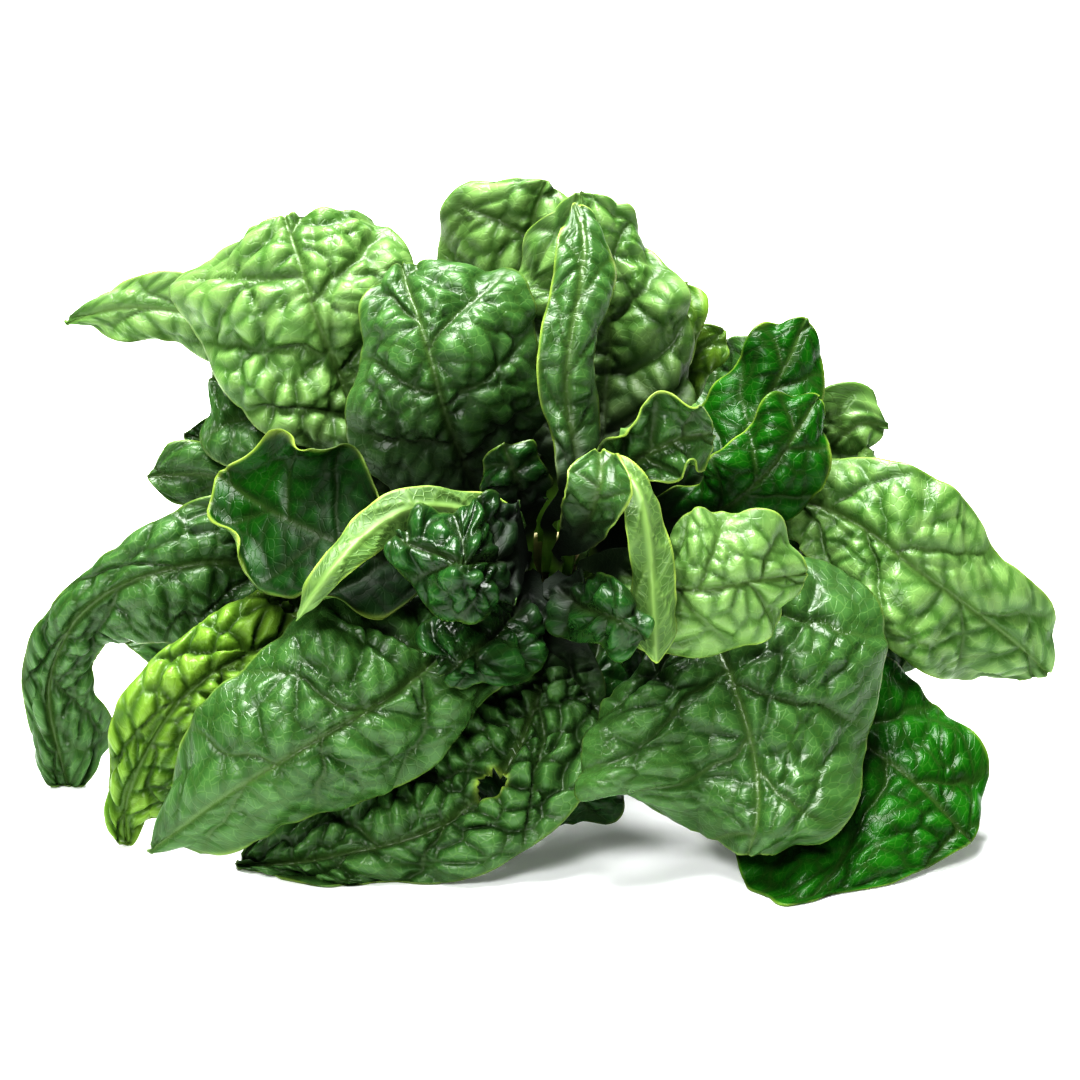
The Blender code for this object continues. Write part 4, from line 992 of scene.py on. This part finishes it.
class SPINACH_OT_heart(RingStep, bpy.types.Operator):
    """Adds the dark crinkled leaves at the heart"""
    bl_idname = "spinach.heart"
    bl_label = "Heart Leaves"
    ring = 0


class SPINACH_OT_inner(RingStep, bpy.types.Operator):
    """Adds the small leaves round the heart: cup, twist, strip, rosette and flap"""
    bl_idname = "spinach.inner"
    bl_label = "Inner Leaves"
    ring = 1


class SPINACH_OT_front(RingStep, bpy.types.Operator):
    """Adds the large leaves that face the viewer"""
    bl_idname = "spinach.front"
    bl_label = "Front Leaves"
    ring = 2


class SPINACH_OT_sides(RingStep, bpy.types.Operator):
    """Adds the large leaves at the sides and the top"""
    bl_idname = "spinach.sides"
    bl_label = "Side Leaves"
    ring = 3


class SPINACH_OT_between(RingStep, bpy.types.Operator):
    """Adds the leaves that show between the larger ones"""
    bl_idname = "spinach.between"
    bl_label = "Leaves Between"
    ring = 4


class SPINACH_OT_behind(RingStep, bpy.types.Operator):
    """Adds the leaves that close the back of the bunch"""
    bl_idname = "spinach.behind"
    bl_label = "Leaves Behind"
    ring = 5


class SPINACH_OT_crown(bpy.types.Operator):
    """Adds the crown that all petioles grow from"""
    bl_idname = "spinach.crown"
    bl_label = "Crown"

    def execute(self, context):
        mesh = crown_mesh(crown_material(context.scene.spinach_colours))
        add_piece(context, mesh, "crown", "crown")
        return {"FINISHED"}


def sweep_mesh():
    """The floor, which curves up far behind into a backdrop: a quarter circle between two flat parts."""
    half, radius, tall = 9.0, 1.2, 3.0
    turn = np.linspace(0.0, math.pi / 2.0, 24)
    y = np.concatenate([[-half], half + radius * np.sin(turn), [half + radius]])
    z = np.concatenate([[0.0], radius * (1.0 - np.cos(turn)), [tall]])
    x = np.array([-2.0 * half, 2.0 * half])
    points = np.stack([np.broadcast_to(x, (len(y), 2)), np.repeat(y[:, None], 2, 1),
                       np.repeat(z[:, None], 2, 1)], axis=-1)
    grid = np.arange(len(y) * 2).reshape(-1, 2)
    quads = np.stack([grid[:-1, 0], grid[:-1, 1], grid[1:, 1], grid[1:, 0]], -1)
    mesh = bpy.data.meshes.new("floor")
    mesh.from_pydata(points.reshape(-1, 3).tolist(), [], quads.tolist())
    mesh.shade_smooth()
    return mesh


def add_light(context, name, place, aim, size, power):
    """A rectangular area light at a place, turned to its aim."""
    lamp = bpy.data.lights.new(name, "AREA")
    lamp.shape = "RECTANGLE"
    lamp.size, lamp.size_y = size
    lamp.energy = power
    light = bpy.data.objects.new(name, lamp)
    context.scene.collection.objects.link(light)
    light.location = place
    light.rotation_euler = (Vector(aim) - Vector(place)).to_track_quat("-Z", "Y").to_euler()


class SPINACH_OT_studio(bpy.types.Operator):
    """Adds the pale floor, the lights and the camera"""
    bl_idname = "spinach.studio"
    bl_label = "Studio"

    def execute(self, context):
        settings = context.scene.spinach_studio
        floor = bpy.data.objects.new("floor", sweep_mesh())
        context.scene.collection.objects.link(floor)
        n = Nodes("floor")
        place = n.add("TexCoord").outputs["Object"]
        reach = n.add("VectorMath", {0: place}, operation="LENGTH").outputs["Value"]
        # The floor glows as painted light, faintly beside the bunch and fully from GLOW_TO out, so the far
        # floor and the backdrop look white.
        glow = n.between(reach, GLOW_FROM, GLOW_TO, 0.1, 1.0)
        n.feed(n.shader, {"Base Color": FLOOR_COLOUR, "Roughness": 0.6, "Emission Color": WHITE,
                          "Emission Strength": glow})
        floor.data.materials.append(n.material)
        floor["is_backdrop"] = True

        add_light(context, "overhead", (-0.1, 0.1, 1.0), (0.0, 0.0, 0.05), (0.6, 0.5), settings.key)
        add_light(context, "front", (-0.35, -1.0, 1.0), (0.0, 0.0, 0.06), (0.45, 0.45),
                  settings.key * FRONT_SHARE)
        world = bpy.data.worlds.new("studio")
        world.use_nodes = True
        background = world.node_tree.nodes["Background"]
        background.inputs["Color"].default_value = WHITE
        background.inputs["Strength"].default_value = WORLD_LIGHT
        context.scene.world = world
        context.scene.view_settings.view_transform = "Standard"
        context.scene.view_settings.look = "High Contrast"

        lens = bpy.data.cameras.new("camera")
        lens.lens = settings.lens
        lens.sensor_width = SENSOR
        lens.clip_start = 0.05
        camera = bpy.data.objects.new("camera", lens)
        context.scene.collection.objects.link(camera)
        aim = Vector(stand(np.array([0.0, 0.0, 0.0])))
        back = Vector((0.0, -math.cos(settings.elevation), math.sin(settings.elevation)))
        camera.location = aim + back * settings.distance
        camera.rotation_euler = (-back).to_track_quat("-Z", "Y").to_euler()
        context.scene.camera = camera
        return {"FINISHED"}


class SPINACH_PT_bunch(bpy.types.Panel):
    """Lists the steps in the order they are made in"""
    bl_label = "Spinach Bunch"
    bl_idname = "SPINACH_PT_bunch"
    bl_space_type = "VIEW_3D"
    bl_region_type = "UI"
    bl_category = "Spinach"

    def draw(self, context):
        for name, kind in GROUPS.items():
            for key in kind.__annotations__:
                self.layout.prop(getattr(context.scene, name), key)
        for step in STEPS:
            self.layout.operator(step.bl_idname)


GROUPS = {"spinach_sizes": LeafSizes, "spinach_colours": LeafColours, "spinach_studio": StudioSettings}
STEPS = (SPINACH_OT_lay_leaves, SPINACH_OT_heart, SPINACH_OT_inner, SPINACH_OT_front, SPINACH_OT_sides,
         SPINACH_OT_between, SPINACH_OT_behind, SPINACH_OT_crown, SPINACH_OT_studio)


def register():
    for kind in (*GROUPS.values(), *STEPS, SPINACH_PT_bunch):
        bpy.utils.register_class(kind)
    for name, kind in GROUPS.items():
        setattr(bpy.types.Scene, name, PointerProperty(type=kind))


def unregister():
    for name in GROUPS:
        delattr(bpy.types.Scene, name)
    for kind in reversed((*GROUPS.values(), *STEPS, SPINACH_PT_bunch)):
        bpy.utils.unregister_class(kind)


def main():
    register()
    bpy.ops.spinach.lay_leaves()
    bpy.ops.spinach.heart()
    bpy.ops.spinach.inner()
    bpy.ops.spinach.front()
    bpy.ops.spinach.sides()
    bpy.ops.spinach.between()
    bpy.ops.spinach.behind()
    bpy.ops.spinach.crown()
    bpy.ops.spinach.studio()
    sizes = {"cad": [list(corner) for corner in CAD_BOX],
             "visual": [list(corner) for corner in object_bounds()]}


if __name__ == "__main__":
    main()
